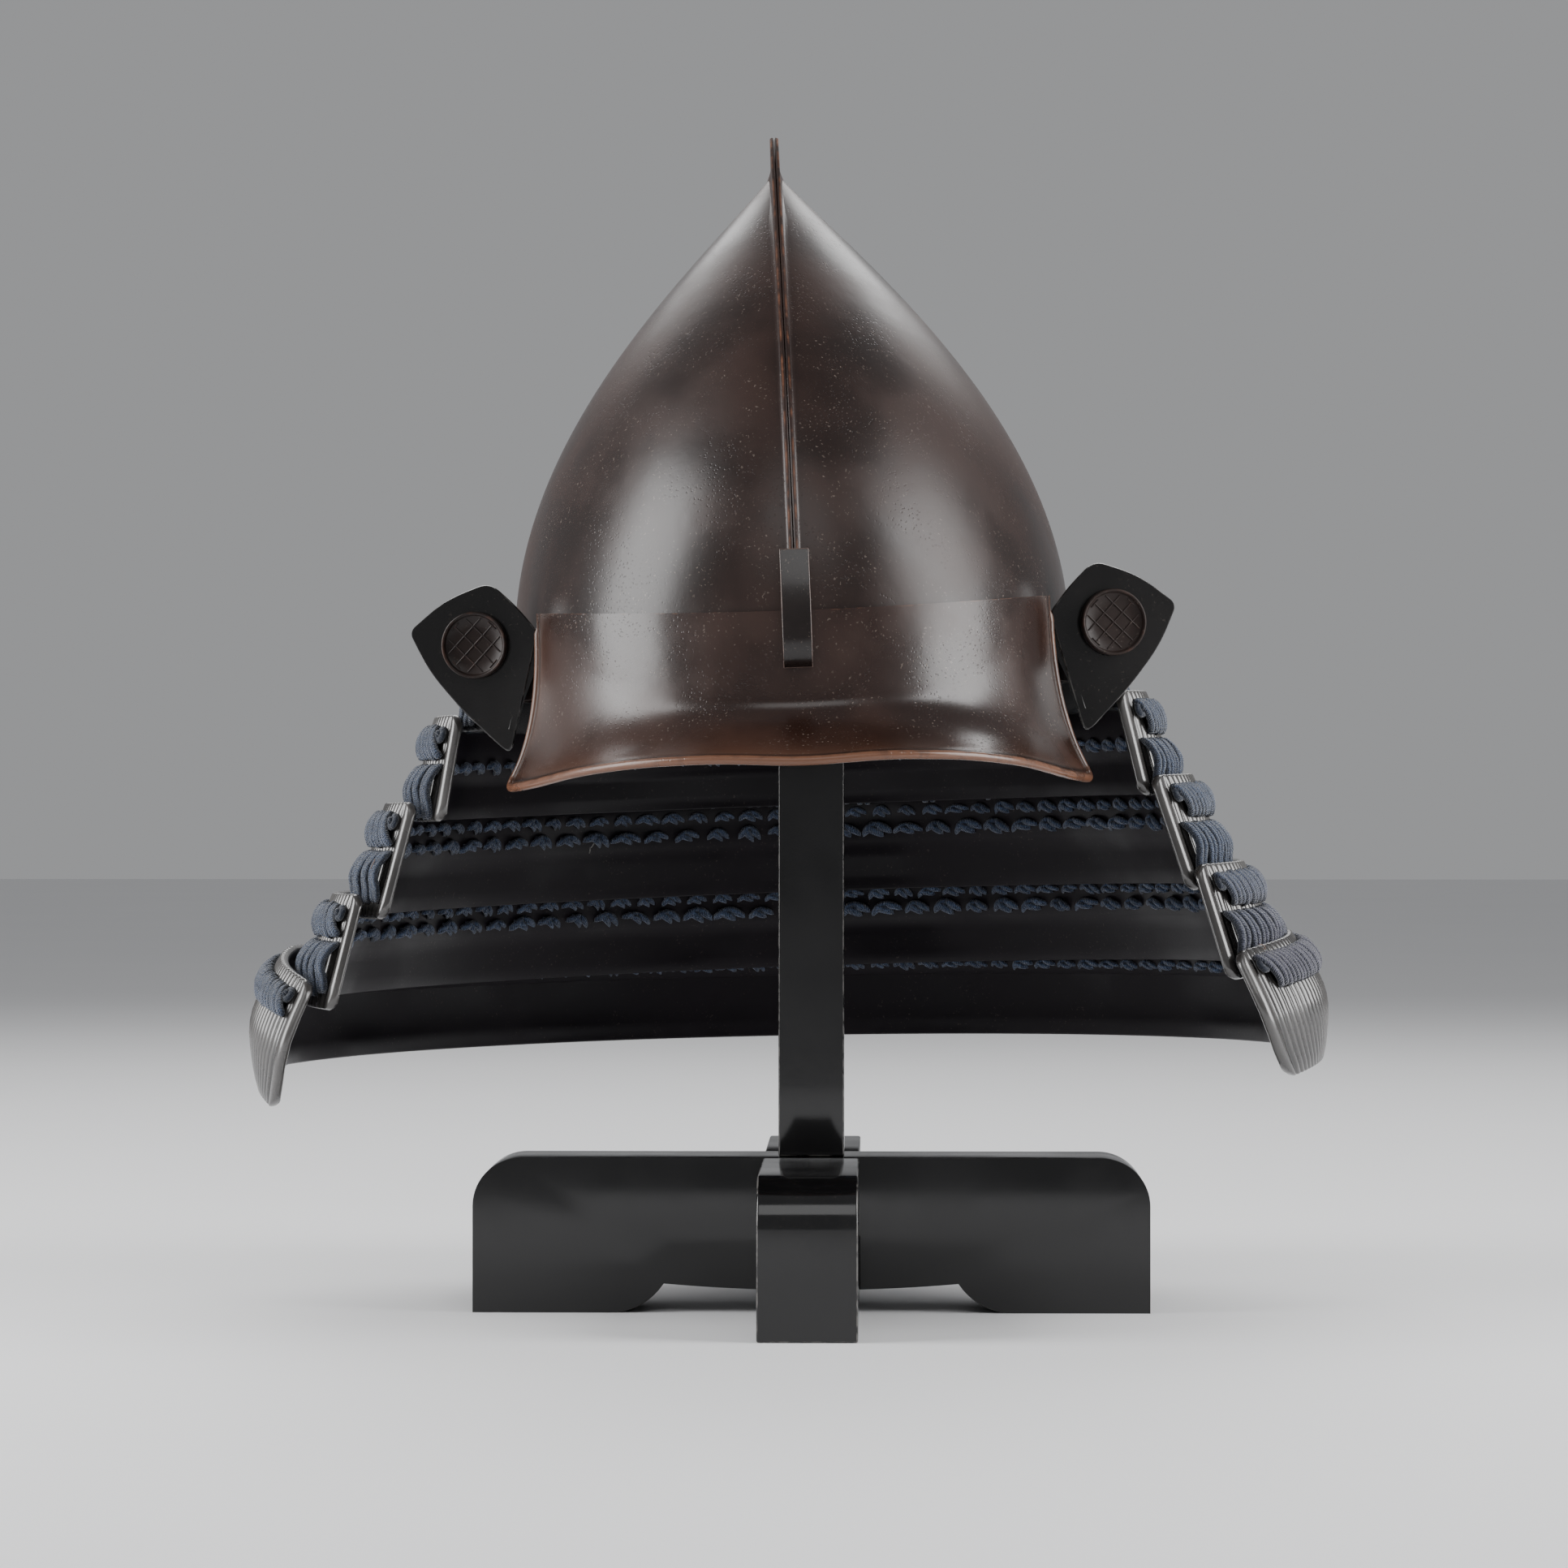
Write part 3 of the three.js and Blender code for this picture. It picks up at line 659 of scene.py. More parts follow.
def dress(obj: Object, finish: Lacquer | Cord, slot: Slot, *nodes: str) -> Object:
    """Gives a piece its finish and its body, and hides the CAD nodes that it stands for.

    Args:
        obj: the piece.
        finish: its finish, unless its faces already have theirs.
        slot: the record's slot; not used.
        nodes: CAD nodes that it replaces.

    Returns:
        The piece.
    """
    if not obj.data.materials:
        obj.data.materials.append(material_of(finish))
    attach(obj, BODY)
    if nodes:
        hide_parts(*nodes)
    LOG.info("%s: %d faces", obj.name, len(obj.data.polygons))
    return obj


def material_of(finish: Lacquer | Cord) -> Material:
    """The finish's material, built once."""
    return bpy.data.materials.get(finish.name) or finish.material()


# ---- Bowl ----


@dataclass
class Bowl:
    """The pointed bowl of two halves that meet at a thin standing flange."""

    centre: float = 10.0
    side: float = 110.4
    front: float = 135.0
    back: float = 115.0
    spring: float = 20.0
    apex: float = 208.0
    rim: float = 27.0
    wall: float = 2.0
    seam: float = 0.15
    rows: int = 72
    columns: int = 72
    flange_start: float = 48.0
    flange_half: float = 1.7
    flange_apex: float = 14.0
    flange_spread: float = 26.0
    flange_steps: int = 90

    def reaches(self, h: Array, inset: Array | float = 0.0) -> tuple[Array, Array, Array, Array]:
        """Reach to the side, front and back at a height, and the crease's power."""
        t = np.clip((h - self.spring) / (self.apex - self.spring - 1.6 * inset), 0, 1)
        side = (self.side - inset) * (1 - t**2) ** 1.12
        front = (self.front - inset) * (1 - t**2) ** 0.95
        back = (self.back - inset) * (1 - t**2.4) ** 0.9
        return side, front, back, 1 + 0.44 * t

    def half(self, side: Side) -> Form:
        """The closed shell of one half, from its outer face round its rim to its inner one.

        Args:
            side: which half.

        Returns:
            The half's form.
        """
        low = math.asin((self.rim + 1 - self.spring) / (self.apex - self.spring))
        t = np.sin(np.linspace(math.pi / 2, low, self.rows))
        outer = self.spring + t * (self.apex - self.spring)
        inner = self.spring + t[::-1] * (self.apex - self.spring - 1.6 * self.wall)
        edge_h = self.rim + np.array([0.45, 0.15, 0.0, 0.0, 0.15, 0.45])
        edge_in = np.array([0.0, 0.15, 0.5, 1.5, 1.85, 2.0])
        h = np.concatenate([outer, edge_h, inner])
        inset = np.concatenate([np.zeros(self.rows), edge_in, np.full(self.rows, self.wall)])
        across, front, back, power = self.reaches(h, inset)
        s = np.linspace(-1, 1, self.columns)
        angle = np.radians(90 * np.sign(s) * np.abs(s) ** 0.9)
        cos = np.clip(np.cos(angle), 0, 1)
        x = self.seam + across[:, None] * cos[None] ** power[:, None]
        y = np.where(angle > 0, back[:, None], front[:, None]) * np.sin(angle)[None] + self.centre
        grid = np.stack([x * side.value, y, np.broadcast_to(h[:, None], x.shape)], -1)
        worn = np.exp(-np.abs(grid[..., 2] - self.rim) / 1.2) * 0.75
        form = Form()
        form.sheet(grid, edge=worn)
        for column in (grid[:, 0], grid[:, -1]):
            half = len(column) // 2
            form.sheet(np.stack([column[:half], column[::-1][:half]], 1))
        return form

    def midline(self) -> tuple[Array, Array, Array]:
        """The bowl's midline over the apex.

        Returns:
            Base points, the flange's outer points, and how near each is to the apex.
        """
        t = np.sin(np.linspace(0, math.pi / 2, self.flange_steps))
        h = self.flange_start + (self.apex - 0.4 - self.flange_start) * t
        _, front, back, _ = self.reaches(h)
        near = np.exp(-(((self.apex - h) / self.flange_spread) ** 1.3))
        tops, bases = [], []
        for sign, reach, low in ((-1, front, 1.8), (1, back, 3.0)):
            off = low + (self.flange_apex - low) * near
            base = np.stack([np.zeros_like(h), sign * reach + self.centre, h], 1)
            rise = t**2
            top = base + np.stack([np.zeros_like(h), sign * off * (1 - rise), off * rise], 1)
            order = slice(None) if sign < 0 else slice(-2, None, -1)
            bases.append(base[order])
            tops.append(top[order])
        near = np.exp(-(((self.apex - h) / 11.0) ** 1.2))
        return np.concatenate(bases), np.concatenate(tops), np.concatenate([near, near[-2::-1]])

    def flange(self, side: Side, form: Form) -> None:
        """Adds one half's leaf of the flange, with the fillet that joins it to the bowl.

        Args:
            side: which half.
            form: the half's form.
        """
        base, top, near = self.midline()
        tall = np.linalg.norm(top - base, axis=1)
        up = unit(top - base)
        sections = []
        for high, k in zip(tall, near):
            skirt = (3.6 + 0.6 * k, -0.3 - 5.2 * k)
            knee = (1.9 + 0.2 * k, 0.05 - 1.2 * k)
            foot = (self.flange_half + 0.05, min(0.9 + 0.6 * k, high * 0.6))
            fillet = bent(np.linspace(0, 1, 7)[:, None], np.array(skirt), np.array(knee), np.array(foot))
            half = self.flange_half
            crown = [(half, high - 0.7), (half - 0.22, high - 0.2), (half - 0.7, high)]
            crown += [(self.seam + 0.35, high), (self.seam, high - 0.35), (self.seam, -3.0 - 9.0 * k)]
            sections.append(np.concatenate([fillet, crown]))
        grid = swept(base, np.array([side.value, 0, 0]), up, np.array(sections))
        worn = np.zeros(grid.shape[:2])
        worn[:, 7:10] = 0.62
        form.tube(grid, edge=worn)

    def build(self) -> None:
        """Makes both halves."""
        for side in Side:
            form = self.half(side)
            self.flange(side, form)
            name = f"bowl_half_{side.name.lower()}"
            dress(form.piece(f"{name}_shell", STANCE.world), BROWN, Slot.BROWN, name)


# ---- Peak ----


@dataclass
class Peak:
    """The flared peak under the bowl's front, with a rolled rim."""

    bowl: Bowl
    half_angle: float = 62.0
    per_degree: float = 2.55
    gap: float = 2.1
    wall: float = 1.8
    top: float = 28.0
    top_rise: float = 6.0
    bend: tuple[float, float] = (-5.0, 25.0)
    knee: float = -14.0
    reach: tuple[float, float] = (30.0, 16.5)
    rim_x: tuple[float, ...] = (-130, -112, -100, -85, -60, -31, 0, 31, 60, 85, 100, 112, 130)
    rim_h: tuple[float, ...] = (
        -33.6, -33.6, -32.4, -28.6, -26.0, -25.5, -27.6, -26.0, -27.3, -31.0, -36.2, -38.2, -38.2,
    )
    corner: float = 6.0
    bead: float = 1.75
    upright_rows: int = 12
    flare_rows: int = 46

    def columns(self) -> tuple[Array, Array]:
        """The angle of each column and how far it lies from the side edge."""
        cut = self.corner / self.per_degree
        close = self.half_angle - cut * (1 - np.cos(np.linspace(0, math.pi / 2, 9)))[::-1]
        inner = np.linspace(0, close[0], 44)[:-1]
        positive = np.concatenate([inner, close])
        angles = np.concatenate([-positive[:0:-1], positive])
        return np.radians(angles), (self.half_angle - np.abs(angles)) * self.per_degree

    def outer(self, angles: Array, from_edge: Array) -> Array:
        """The peak's outer face.

        Args:
            angles: each column's angle from the front.
            from_edge: each column's distance from the side edge.

        Returns:
            points[column][row] from the top down to the rim.
        """
        normal = unit(np.stack([np.sin(angles) / self.bowl.side, -np.cos(angles) / self.bowl.front], 1))
        foot = np.stack([self.bowl.side * np.sin(angles), -self.bowl.front * np.cos(angles)], 1)
        corner = (angles / math.radians(self.half_angle)) ** 2
        reach = self.reach[0] + (self.reach[1] - self.reach[0]) * corner
        rim_x = (self.bowl.side + reach) * np.sin(angles)
        spread = [np.interp(rim_x + d, self.rim_x, self.rim_h) for d in (-9, -4, 0, 4, 9)]
        rim_h = np.mean(spread, 0)
        bend = self.bend[0] + (self.bend[1] - self.bend[0]) * corner
        top = self.top + self.top_rise * np.sin(angles) ** 2
        length = np.hypot(reach - self.gap, bend - rim_h)
        last = 1 - corner_cut(self.corner, from_edge) / (1.15 * length)
        upright = np.linspace(0, 1, self.upright_rows, endpoint=False)
        t = np.linspace(0, 1, self.flare_rows)[None] * last[:, None]
        off = bent(t, self.gap, self.gap, reach[:, None])
        h = bent(t, bend[:, None], self.knee, rim_h[:, None])
        h = np.concatenate([top[:, None] + (bend - top)[:, None] * upright, h], 1)
        off = np.concatenate([np.full((len(angles), self.upright_rows), self.gap), off], 1)
        flat = foot[:, None] + normal[:, None] * off[..., None] + [0, self.bowl.centre]
        return np.concatenate([flat, h[..., None]], 2)

    def build(self) -> None:
        """Makes the peak with its rolled rim."""
        angles, from_edge = self.columns()
        outer = self.outer(angles, from_edge)
        normals = sheet_normals(outer)
        if normals[len(angles) // 2, 4, 1] > 0:
            normals = -normals
        inner = outer - normals * self.wall
        step = np.linalg.norm(np.diff(outer, axis=1), axis=2)
        to_rim = np.concatenate([np.cumsum(step[:, ::-1], 1)[:, ::-1], np.zeros((len(angles), 1))], 1)
        near = np.minimum(to_rim, from_edge[:, None] * 1.4 + 2)
        # The groove inside the rolled rim is pressed in a little and also painted darker through the groove
        # attribute: painted shade in the crease.
        groove = 0.85 * np.exp(-(((np.minimum(to_rim, from_edge[:, None]) - 2.5) / 0.9) ** 2))
        outer = outer - normals * (0.35 * groove)[..., None]
        form = Form()
        # Wear near the rim and the side edges, and a painted highlight on the top row.
        rim_wear_and_step_highlight = np.exp(-near / 5.0) * 0.42
        # The top row is painted lighter through the wear mask: a painted highlight along the step where the
        # peak stands proud of the bowl.
        rim_wear_and_step_highlight[:, :1] = 0.45
        warm = np.exp(-near / 7.0) * 0.55
        faces = ((outer, inner), (rim_wear_and_step_highlight, rim_wear_and_step_highlight), (warm, warm), (groove, np.zeros_like(groove)))
        loop, rim_wear_and_step_highlight, warm, groove = (np.concatenate([a, b[:, ::-1]], 1) for a, b in faces)
        form.tube(loop, edge=rim_wear_and_step_highlight, warm=warm, groove=groove)
        self.add_bead(form, outer, normals)
        dress(form.piece("peak_plate", STANCE.world), PEAK_BROWN, Slot.BROWN, "peak")

    def add_bead(self, form: Form, outer: Array, normals: Array) -> None:
        """Adds the rolled rim along the side edges, the corners and the lower edge.

        Args:
            form: the peak's form.
            outer: the outer face.
            normals: its normals.
        """
        first = self.upright_rows // 2
        edge, out = (np.concatenate([g[0, first:-1], g[:, -1], g[-1, -2:first:-1]]) for g in (outer, normals))
        along = unit(np.gradient(edge, axis=0))
        away = unit(np.cross(out, along))
        if away[len(edge) // 2, 2] > 0:
            away = -away
        size = np.clip(np.arange(len(edge)) / 6, 0.35, 1)
        size = size * size[::-1]
        rolled = oval_section(2 * self.bead, 2 * self.bead, 14)[None] * size[:, None, None]
        path = edge - out * (self.bead * 0.45) + away * (0.25 * self.bead)
        grid = swept(path, out, away, rolled)
        worn = 0.62 + 0.3 * (rolled[..., 1] / self.bead)
        form.tube(grid, edge=worn, warm=0.5)


# ---- Crest holder ----


@dataclass
class CrestHolder:
    """The slotted bar on the peak that takes a crest's tang."""

    bowl: Bowl
    width: float = 11.0
    depth: float = 7.0
    low: float = 6.5
    top: float = 51.0
    bend: float = 30.0
    chamfer: float = 7.0
    on_peak: float = 137.4
    slot_width: float = 7.5
    slot_depth: float = 3.2
    floor: float = 18.0
    soft: float = 0.45

    def back_at(self, h: float) -> float:
        """How far forward the bar's back stands at a height."""
        top = float(self.bowl.reaches(np.array(self.top))[1]) + 0.3
        return self.on_peak + (top - self.on_peak) * max(0.0, h - self.bend) / (self.top - self.bend)

    def ring(self, h: float, back: float, front: float, half: float) -> Array:
        """Four corners of the bar or its slot at a height."""
        back, front = self.bowl.centre - back, self.bowl.centre - front
        return np.array([(-half, back, h), (half, back, h), (half, front, h), (-half, front, h)])

    def build(self) -> None:
        """Makes the bar, with its slot open at the top."""
        half, third = self.width / 2, self.depth / 3
        outer = [self.ring(self.low, self.on_peak, self.on_peak + third, half)]
        for h in (self.low + self.chamfer, self.floor, self.bend, self.top):
            back = self.back_at(h)
            outer.append(self.ring(h, back, back + self.depth, half))
        slot = []
        for h in (self.top, self.bend, self.floor):
            middle, deep = self.back_at(h) + self.depth / 2, self.slot_depth / 2
            slot.append(self.ring(h, middle - deep, middle + deep, self.slot_width / 2))
        form = Form()
        form.tube(np.array(outer + slot), edge=0.0)
        bar = form.piece("crest_holder_bar", STANCE.world, sharp=30.0)
        soften(bar, self.soft, self.soft + 0.05)
        dress(bar, HOLDER_BROWN, Slot.BROWN, "crest_holder")


# ---- Neck guard ----


@dataclass(frozen=True)
class Row:
    """One level of a lame's outer face."""

    h: float
    side: float
    front: float
    back: float
    edge: float
    lift: float = 0.0
    cant: float = 0.0


@dataclass
class Lame:
    """One curved plate of the neck guard, open at the front."""

    name: str
    rows: tuple[Row, ...]
    shift: float = 0.0
    turn: float = 0.0
    centre: float = 10.0
    wall: float = 3.0
    lift_spread: float = 0.5
    rib_pitch: float = 5.0
    rib_parts: int = 8
    rib_height: float = 1.5
    border: float = 7.6
    border_places: tuple[float, ...] = (0, 0.25, 0.7, 1.3, 2.1, 3.1, 4.2, 5.2, 6.1, 6.8, 7.6)
    border_rise: tuple[float, ...] = (-1.2, -0.4, 0.2, 0.65, 1.0, 1.15, 1.1, 0.9, 0.55, 0.15, 0)
    corner: float = 6.5
    ledge: float = 25.0
    downs: list[float] = field(init=False, repr=False)
    tall: float = field(init=False)
    long: float = field(init=False)
    middle_edge: float = field(init=False)
    table: tuple[Array, Array] = field(init=False, repr=False)

    def __post_init__(self) -> None:
        """Measures the plate down its side and along its middle."""
        self.downs = [0.0]
        for a, b in zip(self.rows, self.rows[1:]):
            self.downs.append(self.downs[-1] + math.hypot(b.side - a.side, b.h - a.h))
        self.tall = self.downs[-1]
        middle = self.level(np.array(self.tall / 2))
        spread = np.radians(np.linspace(-middle["edge"], 180 + middle["edge"], 1441))
        y = np.where(spread > 0, middle["back"], middle["front"]) * np.sin(spread)
        steps = np.hypot(np.diff(middle["side"] * np.cos(spread)), np.diff(y))
        self.table = (np.concatenate([[0], np.cumsum(steps)]), spread)
        self.long = float(self.table[0][-1])
        self.middle_edge = float(middle["edge"])

    def level(self, down: Array) -> dict[str, Array]:
        """The plate's sizes at a distance down from its head."""
        names = (part.name for part in fields(Row))
        return {n: ease(down, self.downs, [getattr(r, n) for r in self.rows]) for n in names}

    def surface(self, along: Array, down: Array) -> Array:
        """Points of the outer face.

        Args:
            along: distance from the right front edge, along the plate's middle.
            down: distance below the head.

        Returns:
            Points in the lame's own frame.
        """
        at = self.level(down)
        share = (np.degrees(np.interp(along, *self.table)) + self.middle_edge) / (180 + 2 * self.middle_edge)
        angle = np.radians(share * (180 + 2 * at["edge"]) - at["edge"])
        s = np.sin(angle)
        behind = np.clip((s + np.sin(np.radians(at["edge"]))) / self.lift_spread, 0, 1)
        y = np.where(s > 0, at["back"], at["front"]) * s
        lift = at["lift"] - at["cant"] * np.cos(angle)
        return np.stack([at["side"] * np.cos(angle), y, at["h"] + lift * behind**0.7], -1)

    def frames(self, along: Array, down: Array) -> tuple[Array, Array, Array]:
        """Points of the face with the directions out of it and up it."""
        along, down = np.broadcast_arrays(np.asarray(along, float), np.asarray(down, float))
        step = 0.4
        low = np.clip(down, step, self.tall - step)
        up = unit(self.surface(along, low - step) - self.surface(along, low + step))
        near = np.clip(along, step, self.long - step)
        tangent = unit(self.surface(near + step, down) - self.surface(near - step, down))
        out = unit(np.cross(tangent, up))
        return self.surface(along, down), out, up

    def placed(self, points: Array) -> Array:
        """Points of the lame's own frame in the helmet's."""
        return turned(points, self.turn) + [self.shift, self.centre, 0]

    def world(self, points: Array) -> Array:
        """Points of the lame's own frame in the world, in metres."""
        return STANCE.world(self.placed(points))

    def heading(self, vectors: Array) -> Array:
        """Directions of the lame's own frame in the world."""
        return STANCE.directions(turned(vectors, self.turn))

    def column_places(self) -> tuple[Array, Array]:
        """Where the plate's columns lie and which of them carry ribs."""
        edge = np.array([*self.border_places[:-1], 7.2])
        count = round((self.long - 2 * self.border) / self.rib_pitch)
        ribs = np.linspace(self.border, self.long - self.border, count * self.rib_parts + 1)
        places = np.concatenate([edge, ribs, self.long - edge[::-1]])
        ribbed = np.concatenate([np.zeros(len(edge)), np.ones(len(ribs)), np.zeros(len(edge))])
        return places, ribbed

    def plate_rows(self) -> tuple[Array, Array, Array]:
        """The plate's section: distance down, share of its thickness from the face, and inner depth."""
        tall, ledge = self.tall, self.ledge
        face = np.linspace(1.1, tall - 1.1, 14)[1:-1]
        down = [0.0, 0.12, 0.5, 1.1, *face, tall - 1.1, tall - 0.5, tall - 0.12, tall]
        share = [0.5, 0.25, 0.07, 0.0, *np.zeros(len(face)), 0.0, 0.07, 0.25, 0.5]
        under = [tall - 0.12, tall - 0.7, tall * 0.85, tall * 0.7]
        under += [ledge + 0.25, ledge - 0.1, ledge * 0.5, 0.7, 0.12]
        share += [0.8, 1, 1, 1, 1, 1, 1, 1, 0.8]
        depth = [LAME_WALL] * (len(down) + 5) + [3.3, 3.3, 3.1, 2.9]
        return np.array(down + under), np.array(share), np.array(depth)

    def plate(self) -> Object:
        """The plate with its raised front borders, before its ribs.

        Returns:
            The plate's object, with the attributes that its ribs read.
        """
        along, ribbed = self.column_places()
        down, share, depth = self.plate_rows()
        inside = np.arange(len(down)) >= len(down) - 9
        from_edge = np.minimum(along, self.long - along)[:, None]
        cut = corner_cut(self.corner, from_edge)
        squeezed = cut + down[None] * (1 - 2 * cut / self.tall)
        rise = np.interp(from_edge, self.border_places, self.border_rise)
        dip = np.interp(from_edge, self.border_places[:4], [1.3, 0.7, 0.25, 0.0])
        ledge = (depth - LAME_WALL) * np.clip((from_edge - 7) / 6, 0, 1)
        stand = rise - share * (rise + LAME_WALL + ledge - dip)
        points, out, _ = self.frames(along[:, None], squeezed)
        grid = points + out * stand[..., None]
        size = grid.shape[:2]
        crisp = np.minimum(squeezed, self.tall - squeezed)
        edge = np.where(inside, 0.25, np.exp(-crisp / 1.4) * 0.6 + np.exp(-from_edge / 2.2) * 0.5)
        fade = np.clip((np.minimum(down, self.tall - down) - 0.2) / 1.6, 0, 1) ** 0.5
        values = {
            "edge": edge,
            "inside": inside * (from_edge > 1.2),
            "along": np.broadcast_to((along - self.border)[:, None], size),
            "ribbed": ribbed[:, None] * ~inside * fade,
        }
        form = Form()
        form.tube(grid, **values)
        return form.piece(f"{self.name}_plate", self.world, sharp=60.0)

    def build(self) -> None:
        """Makes the plate and raises its ribs."""
        plate = self.plate()
        ribbed = self.long - 2 * self.border
        values = {"Pitch": ribbed / round(ribbed / self.rib_pitch), "Height": self.rib_height / 1000}
        finishes = {"Face": material_of(LAME_GREY), "Inside": material_of(LAME_INSIDE)}
        plate.data = grown(plate, rib_tree(), **values, **finishes)
        dress(plate, LAME_GREY, Slot.LAME, self.name)


LAMES = (
    Lame("lame_1", (Row(-4.5, 141, 115, 145, 24), Row(-45.8, 152.5, 121, 150, 26.2)), -1.8, -1.6),
    Lame("lame_2", (Row(-38, 160.1, 128, 157, 26), Row(-83, 174.8, 139, 166, 26)), -3.8, -3.2),
    Lame("lame_3", (Row(-73, 180.8, 146, 172.5, 26.2), Row(-117.7, 196, 157, 184, 27.3, 2)), -5.6, -4.6),
    Lame(
        "lame_4",
        (
            Row(-107, 200.5, 163.5, 190.5, 27, 9, 3.5),
            Row(-135, 213.8, 173, 200, 27.2, 9.5, 3.5),
            Row(-147, 213.2, 172.5, 199.5, 24.6, 9.5, 3.5),
            Row(-157, 211.5, 170, 198, 20.8, 9.5, 3.5),
        ),
        -7.6,
        -5.1,
    ),
)
TOP_FACE = Lame("top_lame", (Row(14, 113.8, 138, 118.7, 21), Row(-12, 134.5, 108, 139, 21)))


# ---- Geometry Nodes ----


@cache
def rib_tree() -> NodeTree:
    """Raises rounded ribs on a plate whose points know their place along it and paints shade into the grooves
    between them.
    """
    inputs = {"Plate": "Geometry", "Pitch": "Float", "Height": "Float"}
    inputs |= {"Face": "Material", "Inside": "Material"}
    g, got, out = new_group("Plate ribs", inputs, ("Geometry",), "Geometry")
    turns = g.maths("DIVIDE", g.read("along"), got["Pitch"])
    wave = g.maths("ABSOLUTE", g.maths("SINE", g.times(turns, math.pi)))
    ribbed = g.read("ribbed")
    crown = g.minus(g.maths("POWER", wave, 0.7), 0.2)
    rise = g.times(g.times(crown, ribbed), got["Height"])
    # Painted shade: the grooves between the ribs are stored as the groove attribute, which the lacquer paints
    # darker.
    deep = g.times(g.maths("POWER", g.minus(1.0, wave), 1.6), ribbed)
    normal = g.result("GeometryNodeInputNormal")
    offset = g.result("VectorMath", {"operation": "SCALE"}, i0=normal, Scale=rise)
    moved = g.result("GeometryNodeSetPosition", Geometry=got["Plate"], Offset=offset)
    real = g.result("GeometryNodeRealizeInstances", Geometry=g.stored(moved, "groove", deep, "POINT"))
    settings = {"data_type": "FLOAT", "operation": "GREATER_THAN"}
    hidden = g.result("FunctionNodeCompare", settings, i0=g.read("inside"), i1=0.6)
    g.feed(out["Geometry"], g.covered(g.covered(real, got["Face"]), got["Inside"], Selection=hidden))
    return g.tree


@cache
def row_tree() -> NodeTree:
    """Sets one shape again and again along a guide line that knows which way is out and up."""
    inputs = {"Guide": "Geometry", "Shape": "Object", "Pitch": "Float", "Wobble": "Float", "Twist": "Float"}
    inputs |= {"Seed": "Int", "Finish": "Material"}
    g, got, out = new_group("Row along a guide", inputs, ("Geometry",), "Geometry")

    def chance(kind: str, **ends) -> Node:
        """A random value for each shape."""
        return g.node("FunctionNodeRandomValue", {"data_type": kind}, Seed=got["Seed"], **ends)

    line = g.result("GeometryNodeMeshToCurve", Mesh=got["Guide"])
    spaced = g.result("GeometryNodeResampleCurve", {"mode": "LENGTH"}, Curve=line, Length=got["Pitch"])
    axes = {"primary_axis": "Z", "secondary_axis": "Y"}
    up, outward = (g.read(name, "FLOAT_VECTOR") for name in ("up", "out"))
    upright = g.result("FunctionNodeAxesToRotation", axes, i0=up, i1=outward)
    spread = chance("FLOAT_VECTOR", i0=g.minus(1.0, got["Wobble"]), i1=g.plus(1.0, got["Wobble"])).outputs[0]
    tilt = g.result("CombineXYZ", Y=g.times(chance("FLOAT", i2=-1.0).outputs[1], got["Twist"]))
    leaned = g.result("FunctionNodeRotateRotation", {"rotation_space": "LOCAL"}, i0=upright, i1=tilt)
    shape = g.node("GeometryNodeObjectInfo", Object=got["Shape"]).outputs["Geometry"]
    way = {"Instance": shape, "Rotation": leaned, "Scale": spread}
    copies = g.result("GeometryNodeInstanceOnPoints", Points=spaced, **way)
    toned = g.stored(copies, "tone", chance("FLOAT", i2=0.72, i3=1.0).outputs[1], "INSTANCE")
    real = g.result("GeometryNodeRealizeInstances", Geometry=toned)
    g.feed(out["Geometry"], g.covered(real, got["Finish"]))
    return g.tree


def grown(holder: Object, tree: NodeTree, **values) -> Mesh:
    """Runs a tree on an object.

    Args:
        holder: the object that carries the guide.
        tree: the tree.
        values: its inputs by name.

    Returns:
        The plain mesh that comes out.
    """
    maker = holder.modifiers.new("Maker", "NODES")
    maker.node_group = tree
    for item in tree.interface.items_tree:
        if item.item_type == "SOCKET" and item.in_out == "INPUT" and item.name in values:
            maker[item.identifier] = values[item.name]
    made = plain_mesh(holder)
    holder.modifiers.remove(maker)
    return made


def guide_line(
    lame: Lame, down: float, off: float, inset: float, late: float = 0.0, facing: int = 1
) -> Object:
    """A line along a lame that shapes are set on.

    Args:
        lame: the lame.
        down: distance below its head.
        off: how far the line stands off the face.
        inset: how far from the front edges it starts and ends.
        late: how much later it starts.
        facing: 1 for the outer face, -1 for the inner one.

    Returns:
        The line's object.
    """
    start, end = inset + late, lame.long - inset
    along = np.linspace(start, end, max(2, int((end - start) / 3)))
    points, out, up = lame.frames(along, np.full_like(along, down))
    mesh = bpy.data.meshes.new("guide")
    places = lame.world(points + out * off)
    mesh.from_pydata(places.tolist(), [(i, i + 1) for i in range(len(places) - 1)], [])
    for name, vectors in (("out", lame.heading(out) * facing), ("up", lame.heading(up))):
        layer = mesh.attributes.new(name, "FLOAT_VECTOR", "POINT")
        layer.data.foreach_set("vector", vectors.astype(np.float32).ravel())
    return link(bpy.data.objects.new("guide", mesh))


# ---- Lacing ----


def strand_sections(path: Array, width: float, thick: float, ends: float = 0.55, sides: int = 8) -> Array:
    """A cord's sections along a path whose X runs along the row, Y out and Z up.

    Args:
        path: its line.
        width: its width along the row.
        thick: its thickness.
        ends: the size of its ends.
        sides: points round it.

    Returns:
        points[section][around], in millimetres.
    """
    along = unit(np.gradient(path, axis=0))
    across = unit(np.cross(along, [0.0, 1.0, 0.0]) * [1, 0, 1] + [1e-6, 0, 0])
    across[across[:, 0] < 0] *= -1
    out = np.cross(along, across)
    out[out[:, 1] < 0] *= -1
    taper = np.ones(len(path))
    taper[0] = taper[-1] = ends
    return swept(path, across, out, oval_section(width, thick, sides)[None] * taper[:, None, None])


